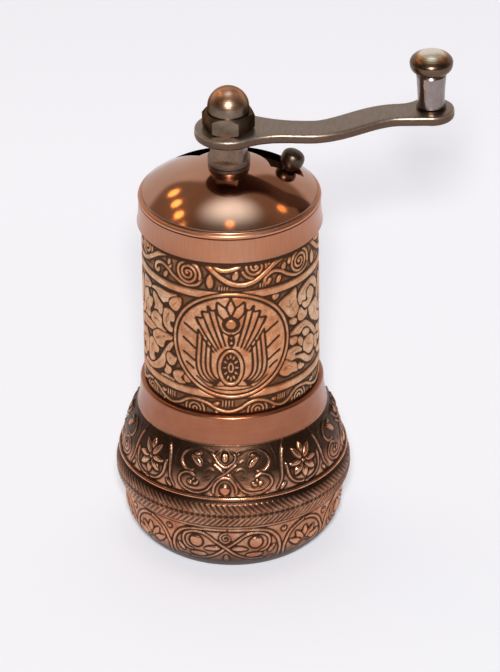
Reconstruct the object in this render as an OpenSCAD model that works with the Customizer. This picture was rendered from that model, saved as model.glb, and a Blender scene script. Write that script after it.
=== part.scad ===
// Hand-cranked Turkish coffee mill: a receiving cup, a milling body that lifts out of it,
// a domed lid with a filling shutter, a cranked spindle and a conical burr pair.
// Millimetres, +Z up. The origin is the centre of the cup's flat foot, on the table.

/* [Receiving cup] */
// Largest diameter of the cup, at the middle of its belt
cup_d = 52; // [48:0.5:58]
// Height of the cup, from the table to the top of its plain collar
cup_h = 39; // [37:0.5:46]
// Diameter of the flat foot
foot_d = 37.4; // [32:0.2:40]
// Height of the rounded bowl below the belt
bowl_h = 13.8; // [12:0.1:15]
// Height of the belt
belt_h = 6.4; // [5:0.1:7]
// How far the belt swells at its middle
belt_bulge = 0.8; // [0.4:0.05:1.2]
// How far the belt stands out from the bowl and the shoulder
belt_step = 0.7; // [0.3:0.05:1]
// Height of the rounded ridge above the belt
ridge_h = 1.1; // [0.6:0.1:1.6]
// Height of the plain collar at the mouth
collar_h = 6.9; // [5:0.1:8]
// How far the collar stands out round the milling body
collar_lip = 0.75; // [0.4:0.05:1.5]
// How much wider the collar is at its bottom than at its top, on the radius
collar_flare = 0.7; // [0.2:0.05:1]
// Thickness of the cup's wall
cup_wall = 2.2; // [1.6:0.1:2.6]
// Thickness of the cup's floor
cup_floor = 2.2; // [1.4:0.1:3]

/* [Milling body] */
// Diameter of the body over its plain strips
body_d = 39; // [37.6:0.2:40.4]
// Height of the body that shows between collar and lid
body_h = 38.4; // [34:0.2:44]
// How far the ornamented ground lies below the plain strips
ground_depth = 0.3; // [0.1:0.05:0.5]
// Height of a plain strip
strip_h = 1.9; // [1:0.1:2.2]
// Height of the lower frieze, from the collar to the lower strip
low_frieze_h = 4.1; // [2:0.1:5]
// Height of the upper frieze, from the upper strip to the lid
top_frieze_h = 7.6; // [5:0.1:9]
// Thickness of the hopper's wall
body_wall = 2; // [1.6:0.1:2.4]
// Length of the spigot that stands in the collar
spigot_h = 7.5; // [6.5:0.1:8.5]
// How far the spigot is turned down from the body
spigot_step = 1.35; // [1.1:0.05:1.6]
// Height of the funnel above the burr ring
funnel_h = 9.5; // [8:0.1:12]
// Radius of the funnel's throat
throat_r = 10.4; // [9.8:0.1:11]
// Thickness of the throat's lip
throat_lip = 0.6; // [0.4:0.1:1.2]
// Width of the ledge that carries the bridge
ledge_w = 4.2; // [4.1:0.1:4.8]

/* [Lid and shutter] */
// Diameter of the lid's plain band
lid_d = 40; // [39.4:0.1:42]
// Height of the band
band_h = 6.7; // [5.5:0.1:8]
// How far the band flares out at its bottom, on the radius
band_flare = 0.4; // [0:0.05:0.6]
// Height of the bead at the top of the band
bead_h = 1.2; // [0.6:0.1:1.6]
// How far the dome's rim is set in from the band
dome_inset = 0.9; // [0.5:0.05:1.3]
// Height of the cove between bead and dome
cove_h = 0.6; // [0.3:0.05:1]
// Rise of the dome from its rim to its flat top
dome_rise = 5.9; // [4.4:0.1:6.6]
// Radius of the flat top
dome_flat_r = 4.66; // [4.4:0.02:5]
// Thickness of the dome
lid_wall = 1.4; // [1:0.1:1.6]
// Depth of the plug that enters the body
plug_h = 4; // [3:0.1:6]
// Thickness of the plug
plug_wall = 1.5; // [1.2:0.1:2]
// Radius of the boss under the dome
boss_r = 5.5; // [5.2:0.1:5.8]
// Inner radius of the filling window
window_r0 = 9; // [8.6:0.1:10]
// Outer radius of the filling window
window_r1 = 16.3; // [15.4:0.1:16.4]
// Direction of the window's first edge
window_start = 6; // [0:1:20]
// Angle that the window spans
window_span = 130; // [100:1:136]
// Thickness of the shutter
shutter_t = 0.9; // [0.6:0.05:1.1]
// How far the shutter laps past the window's edges, in degrees
shutter_lap = 3; // [2:0.5:5]
// Outer radius of the shutter
shutter_r = 17.2; // [16.8:0.05:17.3]
// Radius at which the shutter's knob stands
shutter_knob_r = 13.2; // [12.6:0.1:14.2]
// Diameter of the shutter's knob
shutter_knob_d = 5.2; // [4.6:0.1:6]
// Height of the shutter's knob over the dome
shutter_knob_h = 4.5; // [2.6:0.1:5]
// Diameter of the shutter knob's stem
stem_d = 2.4; // [1.8:0.1:2.8]

/* [Spindle and crank] */
// Diameter of the spindle
shaft_d = 6; // [5.4:0.1:6.4]
// Outer diameter of the drive collar above the dome
drive_d = 9.3; // [8.8:0.1:10]
// Height of the drive collar
drive_h = 6.4; // [5.6:0.1:9]
// Height of the collar's round skirt
skirt_h = 1.5; // [1:0.1:3.5]
// Width across the collar's wrench flats
drive_flats = 7.2; // [7:0.1:7.8]
// Thickness of the crank arm
arm_t = 2.2; // [1.4:0.1:2.6]
// Width of the crank arm
arm_w = 7.3; // [5:0.1:8]
// Distance from spindle to knob along the arm
arm_reach = 44; // [38:0.5:52]
// How far the arm's bend sets the knob back
arm_offset = 7.75; // [4:0.25:8.5]
// How far in front of the knob's axis the bar runs into the knob's eye
eye_set = 1.35; // [0.6:0.05:1.5]
// How far the arm first sags the other way
arm_sag = 1.1; // [0:0.1:1.6]
// Radius of the fillets into the spindle's eye
eye_fillet = 20; // [8:0.5:24]
// Radius of the fillet into the knob's eye, at the back
end_fillet = 5.5; // [4:0.5:10]
// Diameter of the eye on the spindle
eye_d = 14.9; // [13:0.1:16]
// Diameter of the eye under the knob
end_eye_d = 10.2; // [9.6:0.1:11.4]
// Width across the flats of the cap nut
nut_flats = 10; // [9.4:0.1:11]
// Height of the cap nut's hexagon
nut_hex_h = 4; // [3:0.1:5]
// Radius of the cap nut's dome
nut_dome_r = 4.55; // [4:0.05:4.6]
// Height of the cap nut
nut_h = 9.5; // [8.6:0.1:10.4]

/* [Crank knob] */
// Height of the knob over the arm
knob_h = 13.6; // [12:0.1:17]
// Diameter of the grip at its bottom
grip_d0 = 5.9; // [5.3:0.1:6.2]
// Diameter of the grip at its top
grip_d1 = 6.6; // [6.2:0.1:7.2]
// Diameter of the knob's cap
cap_d = 9.5; // [8.4:0.1:10.6]
// Height of the knob's cap
cap_h = 5.1; // [4.8:0.1:6.2]
// Diameter of the knob's pin
knob_pin_d = 3.5; // [2.8:0.1:3.6]
// Diameter of the pin's head inside the knob
pin_head_d = 4.8; // [4.4:0.1:5]
// Diameter of the pin's riveted end under the arm
rivet_d = 6; // [5:0.1:7]
// Thickness of the washer under the knob
washer_t = 0.4; // [0.3:0.05:0.8]

/* [Burrs] */
// Radius of the cone burr at its bottom, as a share of the burr ring's radius
burr_share = 0.685; // [0.6:0.005:0.71]
// Height of the cone burr
burr_h = 12.5; // [11.5:0.1:13.5]
// Height of the fine teeth on the cone burr
fine_h = 4.5; // [3.5:0.1:5.5]
// Diameter of the cone burr at its top
burr_top_d = 11.4; // [11:0.1:12.4]
// Number of fine teeth
fine_teeth = 24; // [16:1:32]
// Number of breaking lobes on the cone burr
lobes = 8; // [5:1:10]
// Depth of a fine tooth
tooth_depth = 0.8; // [0.4:0.05:1]
// Depth of a breaking lobe
lobe_depth = 1.3; // [0.8:0.05:1.6]
// Milling gap between the two burrs, on the radius
burr_gap = 0.35; // [0.25:0.01:0.6]
// Height of the burr ring
ring_h = 10.5; // [9:0.1:11]
// Taper of the milling bore, radius per millimetre of height
bore_taper = 0.13; // [0.08:0.01:0.16]
// Twist of the teeth over the burr's height, in degrees
tooth_twist = 26; // [0:1:40]
// Height of the adjusting nut
adjuster_h = 3.6; // [3:0.1:5]
// Diameter of the adjusting nut
adjuster_d = 13; // [11:0.1:15]
// Diameter of the pin that drives the cone burr
drive_pin_d = 2; // [1.6:0.1:2.2]
// Diameter of the spring's wire
wire_d = 0.9; // [0.7:0.05:1]
// Turns of the spring
spring_turns = 3.5; // [3:0.5:4]
// Length of the spring
spring_h = 7; // [6.5:0.1:9]

/* [Bridge and screws] */
// Thickness of the bridge's rim
bridge_rim_t = 2; // [1.5:0.1:3]
// Thickness of the bridge's arms
bridge_arm_t = 3; // [2:0.1:4]
// Width of the bridge's arms
bridge_arm_w = 4; // [3:0.1:5]
// Height of the bridge's hub
bridge_hub_h = 4.2; // [3.5:0.1:6]
// Diameter of the bridge's hub
bridge_hub_d = 11; // [10.4:0.1:13]
// Outer diameter of the bearing bushes
bush_d = 7.9; // [7.6:0.05:8.1]
// Thickness of a bush's flange
flange_t = 0.8; // [0.5:0.05:1.2]
// Diameter of a screw's shank
screw_d = 2.4; // [2:0.1:2.6]
// Diameter of a screw's head
screw_head_d = 4.6; // [4.4:0.1:5]
// Height of a screw's head
screw_head_h = 1.3; // [1:0.1:1.8]
// Length of a screw's shank
screw_len = 6; // [4.5:0.1:6.5]

/* [Clearances] */
// Radial clearance of a running or sliding fit
run_fit = 0.05; // [0.02:0.01:0.08]
// Radial clearance of a fixed fit
fixed_fit = 0.02; // [0.01:0.01:0.03]
// Gap between shutter and dome
shutter_gap = 0.25; // [0.2:0.05:0.4]
// Smallest stretch of metal left round a hole or a head
web = 0.5; // [0.4:0.05:0.6]
// Gap between a screw's head and the wall beside it
head_gap = 0.1; // [0.05:0.01:0.2]

/* [Hidden] */
$fn = 96;

copper = [0.74, 0.46, 0.34];
old_copper = [0.48, 0.30, 0.20];
bronze = [0.45, 0.40, 0.35];
brass = [0.75, 0.62, 0.35];
steel = [0.62, 0.62, 0.63];

// Edges and cuts: chamfers on turned edges, and how far a cut runs past the face that it opens
chamfer = 0.4;
fine_chamfer = 0.2;
past = 1;

// Radii
cup_r = cup_d / 2;
foot_r = foot_d / 2;
body_r = body_d / 2;
ground_r = body_r - ground_depth;
spigot_r = body_r - spigot_step;
hopper_r = ground_r - body_wall;
collar_r = body_r + collar_lip;
lid_r = lid_d / 2;
shaft_r = shaft_d / 2;
bush_r = bush_d / 2;
screw_r = screw_d / 2;
ledge_r = hopper_r - ledge_w;
screw_ring_r = spigot_r - screw_head_d / 2 - head_gap;
ring_r = screw_ring_r - screw_r - web;
burr_r = ring_r * burr_share;
bridge_screw_r = hopper_r - screw_head_d / 2 - head_gap;

// Levels, from the table up
neck_run = 1;
spigot_z = cup_h - spigot_h;
neck_z = spigot_z - neck_run;
ring_top_z = spigot_z + ring_h;
throat_z = ring_top_z + throat_lip;
ledge_z = throat_z + funnel_h;
rim_z = cup_h + body_h;
band_top_z = rim_z + band_h;
dome_rim_z = band_top_z + cove_h;
dome_top_z = dome_rim_z + dome_rise;
drive_z = dome_top_z + flange_t + run_fit;
arm_z = drive_z + drive_h;
nut_z = arm_z + arm_t;
knob_z = nut_z + washer_t + run_fit;

// Burrs: the cone's foot hangs a little below the ring, so that the adjusting nut clears the screws
burr_drop = 1;
burr_z = spigot_z - burr_drop;
burr_top_z = burr_z + burr_h;
spring_seat_z = burr_top_z + spring_h;
adjuster_z = burr_z - adjuster_h;

// Spindle: a shoulder for the spring, a tail below the adjusting nut, a top inside the cap nut's dome
seat_h = 1.4;
seat_w = 2;
shaft_tail = 3;
thread_rise = 0.8;
shaft_z = adjuster_z - shaft_tail;
shaft_top_z = nut_z + nut_h - nut_dome_r + thread_rise;

// Drive pin: set down into the cone burr's slot, which leaves it room to rise and fall
pin_cover = 0.6;
pin_inset = 1.1;
slot_room = 1.4;
pin_z = burr_top_z - drive_pin_d / 2 - pin_cover;
pin_len = burr_top_d - 2 * pin_inset;
slot_z = pin_z - drive_pin_d / 2 - slot_room;

// Dome: a sphere through its rim and the edge of its flat top
dome_rim_r = lid_r - dome_inset;
dome_drop = (pow(dome_rim_r, 2) - pow(dome_flat_r, 2)) / (2 * dome_rise) - dome_rise / 2;
dome_r = norm([dome_rim_r, dome_drop]);
dome_z = dome_rim_z - dome_drop;
shutter_out_r = dome_r - lid_wall - shutter_gap;
shutter_in_r = shutter_out_r - shutter_t;
shutter_hub_r = window_r0 - web;

// Split ring in a groove of the boss, clear of the shutter's curved underside
clip_t = 0.8;
clip_w = 1.9;
clip_gap = 0.1;
clip_depth = 0.5;
boss_tail = 1.5;
clip_r = boss_r + clip_w;
clip_z = dome_z + sqrt(pow(shutter_in_r, 2) - pow(clip_r, 2)) - clip_t - clip_gap;
boss_z = clip_z - boss_tail;

// Shutter: its knob's stem runs from one end of the window to the other
stem_gap = 0.4;
stem_margin = asin((stem_d / 2 + stem_gap) / shutter_knob_r);
knob_angle = window_start + stem_margin;
shutter_turn = window_span - 2 * stem_margin;
shutter_lead = knob_angle + stem_margin + shutter_lap;
shutter_trail = window_start - shutter_lap - shutter_turn;
knob_tilt = asin(shutter_knob_r / dome_r);

// Points along a quadratic curve, without its last point
function curve(a, b, c, n = 8) = [for (i = [0 : n - 1]) let (t = i / n)
    pow(1 - t, 2) * a + 2 * t * (1 - t) * b + t * t * c];

// Points along an arc round centre c
function arc(c, r, from, to, n = 12) = [for (i = [0 : n]) let (a = from + (to - from) * i / n)
    c + r * [cos(a), sin(a)]];

// Points of a dome's meridian between two distances from the axis
function dome_line(r, from, to, n = 16) = [for (i = [0 : n]) let (x = from + (to - from) * i / n)
    [x, dome_z + sqrt(r * r - x * x)]];

// Outline of a saw-toothed wheel: each tooth rises slowly and drops steeply
tooth_drop = 0.18;
function saw(n, r, depth) = [for (i = [0 : n - 1], j = [0, 1]) let (a = 360 / n * (i + tooth_drop * j))
    (r - depth * j) * [cos(a), sin(a)]];

// Outside of the cup, from the foot up: rounded bowl, swelling belt, ridge, shoulder, collar
belt_r = cup_r - belt_bulge;
bowl_r = belt_r - belt_step;
bowl_lean = 0.4;
bowl_low_z = bowl_h * 0.2;
bowl_high_z = bowl_h * 0.65;
belt_top = bowl_h + belt_h;
ridge_in = 0.2;
ridge_gap = 0.3;
shoulder_z = belt_top + ridge_gap + ridge_h + ridge_in;
collar_z = cup_h - collar_h;
collar_foot_r = collar_r + collar_flare;
collar_ease = 0.3;
lip_r = 0.4;
lip_drop = 0.9;
cup_outside = concat(
    [[0, 0]],
    curve([foot_r, 0], [bowl_r - 2 * bowl_lean, bowl_low_z], [bowl_r - bowl_lean, bowl_high_z]),
    [[bowl_r - bowl_lean, bowl_high_z], [bowl_r, bowl_h - belt_step / 2]],
    curve([belt_r, bowl_h], [cup_r + belt_bulge, bowl_h + belt_h / 2], [belt_r, belt_top], 10),
    [[belt_r, belt_top], [bowl_r + ridge_in, belt_top + ridge_gap]],
    arc([bowl_r + ridge_in, belt_top + ridge_gap + ridge_h / 2], ridge_h / 2, -80, 80, 6),
    curve([bowl_r + ridge_in / 2, shoulder_z], [bowl_r - collar_ease, (shoulder_z + collar_z) / 2],
          [collar_foot_r + collar_ease, collar_z]),
    [[collar_foot_r + collar_ease, collar_z]],
    curve([collar_foot_r, collar_z + collar_ease], [collar_r, cup_h - collar_h / 2],
          [collar_r, cup_h - lip_drop], 6),
    [[collar_r, cup_h - lip_drop]],
    arc([collar_r - lip_r, cup_h - lip_r], lip_r, 0, 90, 4));

// Inside of the cup, from the mouth down: bore for the spigot, belly, rounded floor
neck_r = spigot_r + run_fit;
belly_r = bowl_r - cup_wall;
belly_top_z = belt_top - 1;
belly_low_z = bowl_h * 0.9;
floor_r = foot_r - 2;
cup_inside = concat(
    [[neck_r, cup_h]],
    curve([neck_r, neck_z], [belly_r, neck_z - 2], [belly_r, belly_top_z]),
    [[belly_r, belly_top_z]],
    curve([belly_r, belly_low_z], [belly_r - bowl_lean, cup_floor + 1], [floor_r, cup_floor]),
    [[floor_r, cup_floor], [0, cup_floor]]);

// Where the first screw of each ring of three stands
burr_screw_angle = 30;
bridge_screw_angle = 90;

// Three places round the axis, turned by a start angle
module thrice(r, start) {
    for (i = [0 : 2])
        rotate([0, 0, start + 120 * i])
            translate([r, 0, 0])
                children();
}

// Round-headed screw: the head's seat at z = 0, the shank down from it
module screw() {
    head_r = screw_head_d / 2;
    rotate_extrude()
        polygon(concat(
            [[0, -screw_len], [screw_r - chamfer, -screw_len], [screw_r, chamfer - screw_len]],
            [[screw_r, 0], [head_r, 0]],
            curve([head_r, screw_head_h * 0.4], [head_r, screw_head_h], [head_r / 2, screw_head_h], 4),
            [[head_r / 2, screw_head_h], [0, screw_head_h]]));
}

// Hole for a screw's shank, a little deeper than the shank is long
module screw_hole() {
    translate([0, 0, -screw_len - chamfer])
        cylinder(r = screw_r + fixed_fit, h = screw_len + chamfer + past);
}

// Turned bearing bush with a flange at its top
module bush(z, h, bore_r, flange_r) {
    rotate_extrude()
        polygon([[bore_r, z], [bush_r - fine_chamfer, z], [bush_r, z + fine_chamfer], [bush_r, z + h],
                 [flange_r, z + h], [flange_r, z + h + flange_t], [bore_r, z + h + flange_t]]);
}

// Receiving cup
module base_cup() {
    color(old_copper)
        rotate_extrude()
            polygon(concat(cup_outside, cup_inside));
}

// Milling body: spigot, ornamented drum with two plain strips, hopper, funnel and burr seat
module upper_body() {
    low_strip_z = cup_h + low_frieze_h;
    top_strip_z = rim_z - top_frieze_h - strip_h;
    color(copper)
        difference() {
            rotate_extrude()
                polygon([
                    [ring_r + fixed_fit, spigot_z],
                    [spigot_r - chamfer, spigot_z], [spigot_r, spigot_z + chamfer],
                    [spigot_r, cup_h], [ground_r, cup_h],
                    [ground_r, low_strip_z], [body_r, low_strip_z],
                    [body_r, low_strip_z + strip_h], [ground_r, low_strip_z + strip_h],
                    [ground_r, top_strip_z], [body_r, top_strip_z],
                    [body_r, top_strip_z + strip_h], [ground_r, top_strip_z + strip_h],
                    [ground_r, rim_z], [hopper_r, rim_z], [hopper_r, ledge_z], [ledge_r, ledge_z],
                    [throat_r, throat_z], [throat_r, ring_top_z], [ring_r + fixed_fit, ring_top_z]]);
            thrice(screw_ring_r, burr_screw_angle)
                translate([0, 0, spigot_z])
                    rotate([180, 0, 0])
                        screw_hole();
            thrice(bridge_screw_r, bridge_screw_angle)
                translate([0, 0, ledge_z])
                    screw_hole();
        }
}

// Lid: plain band with a bead, dome, boss, plug and filling window
module lid() {
    plug_r = hopper_r - run_fit;
    plug_in_r = plug_r - plug_wall;
    plug_z = rim_z - plug_h;
    band_in = 0.1;
    band_r = lid_r - band_in;
    flare_r = band_r + band_flare;
    flare_z = rim_z + fine_chamfer;
    bead_r = bead_h / 2;
    room_r = dome_rim_r - lid_wall * 0.6;
    room_z = rim_z + lid_wall + plug_wall * 0.4;
    bore_r = bush_r + fixed_fit;
    groove_r = boss_r - clip_depth;
    groove_z0 = clip_z - run_fit;
    groove_z1 = clip_z + clip_t + run_fit;
    color(copper)
        difference() {
            rotate_extrude()
                polygon(concat(
                    [[plug_in_r, plug_z], [plug_r - chamfer, plug_z], [plug_r, plug_z + chamfer]],
                    [[plug_r, rim_z], [flare_r - fine_chamfer, rim_z]],
                    curve([flare_r, flare_z], [band_r, rim_z + band_h * 0.3],
                          [band_r, band_top_z - bead_h], 5),
                    [[band_r, band_top_z - bead_h]],
                    arc([lid_r - bead_r, band_top_z - bead_r], bead_r, -80, 90, 8),
                    curve([lid_r - bead_r, band_top_z], [dome_rim_r, band_top_z],
                          [dome_rim_r, dome_rim_z], 4),
                    dome_line(dome_r, dome_rim_r, dome_flat_r),
                    [[bore_r, dome_top_z], [bore_r, boss_z]],
                    [[boss_r - fine_chamfer, boss_z], [boss_r, boss_z + fine_chamfer]],
                    [[boss_r, groove_z0], [groove_r, groove_z0], [groove_r, groove_z1], [boss_r, groove_z1]],
                    dome_line(dome_r - lid_wall, boss_r, room_r),
                    [[room_r, room_z], [plug_in_r, room_z - plug_wall]]));
            rotate([0, 0, window_start])
                rotate_extrude(angle = window_span)
                    translate([window_r0, band_top_z])
                        square([window_r1 - window_r0, dome_rise + cove_h + past]);
        }
}

// Bush in the lid: its flange carries the drive collar
module top_bush() {
    color(brass)
        bush(boss_z, dome_top_z - boss_z, shaft_r + run_fit, dome_flat_r - run_fit);
}

// Split ring that holds the shutter on the boss
module shutter_clip() {
    mouth = boss_r * 1.1;
    color(steel)
        translate([0, 0, clip_z])
            difference() {
                cylinder(r = clip_r, h = clip_t);
                translate([0, 0, -past])
                    cylinder(r = boss_r - clip_depth + fixed_fit, h = clip_t + 2 * past);
                translate([-2 * boss_r, -mouth / 2, -past])
                    cube([2 * boss_r, mouth, clip_t + 2 * past]);
            }
}

// Burr ring: steel ring with a tapered, saw-toothed bore
module outer_burr() {
    bore_r = burr_r + burr_gap - burr_drop * bore_taper;
    top_r = bore_r - ring_h * bore_taper;
    color(steel)
        translate([0, 0, spigot_z])
            difference() {
                cylinder(r = ring_r, h = ring_h);
                linear_extrude(height = ring_h, twist = -tooth_twist, scale = top_r / bore_r, slices = 8)
                    polygon(saw(fine_teeth, bore_r + tooth_depth, tooth_depth));
            }
}

// Three screws whose heads hold the burr ring in its seat
module burr_screws() {
    color(steel)
        thrice(screw_ring_r, burr_screw_angle)
            translate([0, 0, spigot_z])
                rotate([180, 0, 0])
                    screw();
}

// Three-armed bridge on the hopper's ledge
module bearing_bridge() {
    rim_r = hopper_r - run_fit;
    rim_in_r = ledge_r + web / 2;
    color(bronze)
        translate([0, 0, ledge_z])
            difference() {
                union() {
                    difference() {
                        cylinder(r = rim_r, h = bridge_rim_t);
                        translate([0, 0, -past])
                            cylinder(r = rim_in_r, h = bridge_rim_t + 2 * past);
                    }
                    cylinder(d = bridge_hub_d, h = bridge_hub_h);
                    for (i = [0 : 2])
                        rotate([0, 0, bridge_screw_angle + 60 + 120 * i])
                            translate([0, -bridge_arm_w / 2, 0])
                                cube([rim_in_r + web, bridge_arm_w, bridge_arm_t]);
                }
                translate([0, 0, -past])
                    cylinder(r = bush_r + fixed_fit, h = bridge_hub_h + 2 * past);
                thrice(bridge_screw_r, bridge_screw_angle)
                    translate([0, 0, bridge_rim_t])
                        screw_hole();
            }
}

// Bush in the bridge
module bridge_bush() {
    color(brass)
        bush(ledge_z, bridge_hub_h, shaft_r + run_fit, bridge_hub_d / 2 - web);
}

// Three screws that hold the bridge down
module bridge_screws() {
    color(steel)
        thrice(bridge_screw_r, bridge_screw_angle)
            translate([0, 0, ledge_z + bridge_rim_t])
                screw();
}

// Spindle: a rod with a shoulder for the spring and a cross hole for the drive pin
module shaft() {
    seat_r = shaft_r + seat_w;
    seat_top_z = spring_seat_z + seat_h;
    color(steel)
        difference() {
            rotate_extrude()
                polygon([[0, shaft_z], [shaft_r - chamfer, shaft_z], [shaft_r, shaft_z + chamfer],
                         [shaft_r, spring_seat_z], [seat_r, spring_seat_z],
                         [seat_r, seat_top_z - chamfer], [seat_r - chamfer, seat_top_z],
                         [shaft_r, seat_top_z], [shaft_r, shaft_top_z - chamfer],
                         [shaft_r - chamfer, shaft_top_z], [0, shaft_top_z]]);
            translate([0, 0, pin_z])
                rotate([90, 0, 0])
                    cylinder(d = drive_pin_d + 2 * fixed_fit, h = shaft_d + 2 * past, center = true);
        }
}

// Cross pin that drives the cone burr
module drive_pin() {
    color(steel)
        translate([0, 0, pin_z])
            rotate([90, 0, 0])
                cylinder(d = drive_pin_d, h = pin_len, center = true);
}

// Spring between the spindle's shoulder and the cone burr
spring_room = 0.7;
spring_r = shaft_r + wire_d / 2 + spring_room;
spring_pitch = (spring_h - wire_d - 2 * run_fit) / spring_turns;
spring_steps = ceil(spring_turns * 8);
function spring_point(i) = let (t = i / spring_steps * spring_turns)
    [spring_r * cos(360 * t), spring_r * sin(360 * t), t * spring_pitch];
spring_path = [for (i = [0 : spring_steps]) spring_point(i)];
spring_self_gap = min([for (i = [0 : spring_steps], j = [i + 4 : 1 : spring_steps])
    norm(spring_path[i] - spring_path[j])]) - wire_d;
echo(spring_self_gap = spring_self_gap);

module burr_spring() {
    sides = 6;
    rings = [for (i = [0 : spring_steps], k = [0 : sides - 1])
        let (a = 360 * spring_turns * i / spring_steps, b = 360 * k / sides)
        spring_path[i] + wire_d / 2 * [cos(b) * cos(a), cos(b) * sin(a), sin(b)]];
    walls = [for (i = [0 : spring_steps - 1], k = [0 : sides - 1])
        let (p = i * sides + k, q = i * sides + (k + 1) % sides)
        each [[p, p + sides, q], [q, p + sides, q + sides]]];
    ends = [for (k = [1 : sides - 2])
        let (last = spring_steps * sides)
        each [[0, k, k + 1], [last, last + k + 1, last + k]]];
    color(steel)
        translate([0, 0, burr_top_z + wire_d / 2 + run_fit])
            polyhedron(points = rings, faces = concat(walls, ends));
}

// Drive collar: round skirt with four wrench flats above it
module drive_collar() {
    out_r = drive_d / 2;
    flats_turn = -10;
    color(bronze)
        translate([0, 0, drive_z])
            difference() {
                intersection() {
                    rotate_extrude()
                        polygon([[0, 0], [out_r - fine_chamfer, 0], [out_r, fine_chamfer],
                                 [out_r, drive_h - fine_chamfer], [out_r - fine_chamfer, drive_h],
                                 [0, drive_h]]);
                    union() {
                        cylinder(r = out_r + past, h = skirt_h);
                        rotate([0, 0, flats_turn])
                            translate([-drive_flats / 2, -drive_flats / 2, skirt_h / 2])
                                cube([drive_flats, drive_flats, drive_h]);
                    }
                }
                translate([0, 0, -past])
                    cylinder(r = shaft_r + fixed_fit, h = drive_h + 2 * past);
            }
}

// Crank arm: a flat bar with a soft S-bend between two eyes, with fillets into the spindle's eye
// and into the back of the knob's eye, whose front is flush with the bar
// The bend starts and ends, and the sag ends, at these shares of the arm's reach
bend_start = 0.4;
bend_end = 0.84;
sag_end = 0.88;
function sweep_up(u) = let (s = min(1, max(0, (u - bend_start) / (bend_end - bend_start))))
    s * s * (3 - 2 * s);
function sag_down(u) = pow(sin(180 * min(1, u / sag_end)), 3);
function arm_line(x) = (arm_offset - eye_set) * sweep_up(x / arm_reach) - arm_sag * sag_down(x / arm_reach);
// How far the fillets run into the eyes
weld = 0.06;
// Along the bar, from an eye's centre to where the fillet leaves an edge, and to where it meets the eye;
// the edge lies at distance h from the eye's centre
function fillet_end(eye_r, f, h) = sqrt(pow(eye_r + f, 2) - pow(h + f, 2));
function fillet_start(eye_r, f, h) = fillet_end(eye_r, f, h) * eye_r / (eye_r + f);
// How far the fillet stands out from the edge, at a distance from the eye's centre
function flare(d, eye_r, f, h) = let (reach = max(0, fillet_end(eye_r, f, h) - d))
    f - sqrt(f * f - reach * reach);
module arm_bar() {
    eye_r = eye_d / 2 - weld;
    end_r = end_eye_d / 2 - weld;
    half = arm_w / 2;
    back_h = half - eye_set;
    from = fillet_start(eye_r, eye_fillet, half);
    to = arm_reach - fillet_start(end_r, end_fillet, back_h);
    steps = 40;
    function slope(x) = (arm_line(x + 0.1) - arm_line(x - 0.1)) / 0.2;
    function across(x) = [-slope(x), 1] / norm([slope(x), 1]);
    function eye_edge(x) = half + flare(x, eye_r, eye_fillet, half);
    function at(x, side) = [x, arm_line(x)] + across(x) * side;
    back = [for (i = [0 : steps]) let (x = from + (to - from) * i / steps)
        at(x, eye_edge(x) + flare(arm_reach - x, end_r, end_fillet, back_h))];
    front = [for (i = [0 : steps]) let (x = from + (arm_reach - from) * i / steps) at(x, -eye_edge(x))];
    linear_extrude(height = arm_t)
        polygon(concat(back, [for (i = [steps : -1 : 0]) front[i]]));
}
module crank_arm() {
    color(bronze)
        translate([0, 0, arm_z])
            difference() {
                union() {
                    arm_bar();
                    cylinder(d = eye_d, h = arm_t);
                    translate([arm_reach, arm_offset, 0])
                        cylinder(d = end_eye_d, h = arm_t);
                }
                translate([0, 0, -past])
                    cylinder(r = shaft_r + fixed_fit, h = arm_t + 2 * past);
                translate([arm_reach, arm_offset, -past])
                    cylinder(d = knob_pin_d + 2 * fixed_fit, h = arm_t + 2 * past);
            }
}

// Domed cap nut: chamfered hexagon under a round dome, with a blind bore
module cap_nut() {
    corner_r = nut_flats / sqrt(3);
    flat_r = nut_flats / 2;
    top_r = flat_r - chamfer;
    dome_mid = nut_h - nut_dome_r;
    hex_turn = -8;
    bore_end = 0.4;
    color(bronze)
        translate([0, 0, nut_z])
            difference() {
                intersection() {
                    union() {
                        rotate([0, 0, hex_turn])
                            cylinder(r = corner_r, h = nut_hex_h, $fn = 6);
                        rotate_extrude()
                            polygon(concat([[0, 0], [nut_dome_r, 0]],
                                           arc([0, dome_mid], nut_dome_r, 0, 90, 14)));
                    }
                    rotate_extrude()
                        polygon([[0, 0], [flat_r, 0], [corner_r, chamfer],
                                 [corner_r, nut_hex_h - 2 * chamfer],
                                 [top_r, nut_hex_h + chamfer], [top_r, nut_h + past], [0, nut_h + past]]);
                }
                translate([0, 0, -past])
                    cylinder(r = shaft_r + fixed_fit, h = shaft_top_z - nut_z + bore_end + past);
            }
}

// What turns round the knob's axis is placed there
module at_knob(z) {
    translate([arm_reach, arm_offset, z])
        children();
}

// Washer between arm and knob, which shows round the grip
washer_lip = 0.35;
module knob_washer() {
    color(bronze)
        at_knob(nut_z)
            difference() {
                cylinder(d = grip_d0 + 2 * washer_lip, h = washer_t);
                translate([0, 0, -past])
                    cylinder(d = knob_pin_d + 2 * fixed_fit, h = washer_t + 2 * past);
            }
}

// Levels inside the knob, from the arm's top
sleeve_h = knob_h - cap_h - washer_t - run_fit;
head_room = 2;
pin_head_t = 1;
rivet_h = 1;

// Pin that carries the knob: riveted under the arm, headed inside the grip
module knob_pin() {
    head_z = washer_t + run_fit + sleeve_h - head_room + 2 * run_fit;
    rivet_r = rivet_d / 2;
    pin_r = knob_pin_d / 2;
    head_r = pin_head_d / 2;
    rivet_z = -arm_t - rivet_h;
    color(steel)
        at_knob(nut_z)
            rotate_extrude()
                polygon(concat(
                    [[0, rivet_z]],
                    curve([rivet_r * 0.4, rivet_z], [rivet_r, rivet_z], [rivet_r, -arm_t], 5),
                    [[rivet_r, -arm_t], [pin_r, -arm_t], [pin_r, head_z]],
                    [[head_r, head_z], [head_r, head_z + pin_head_t], [0, head_z + pin_head_t]]));
}

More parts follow.
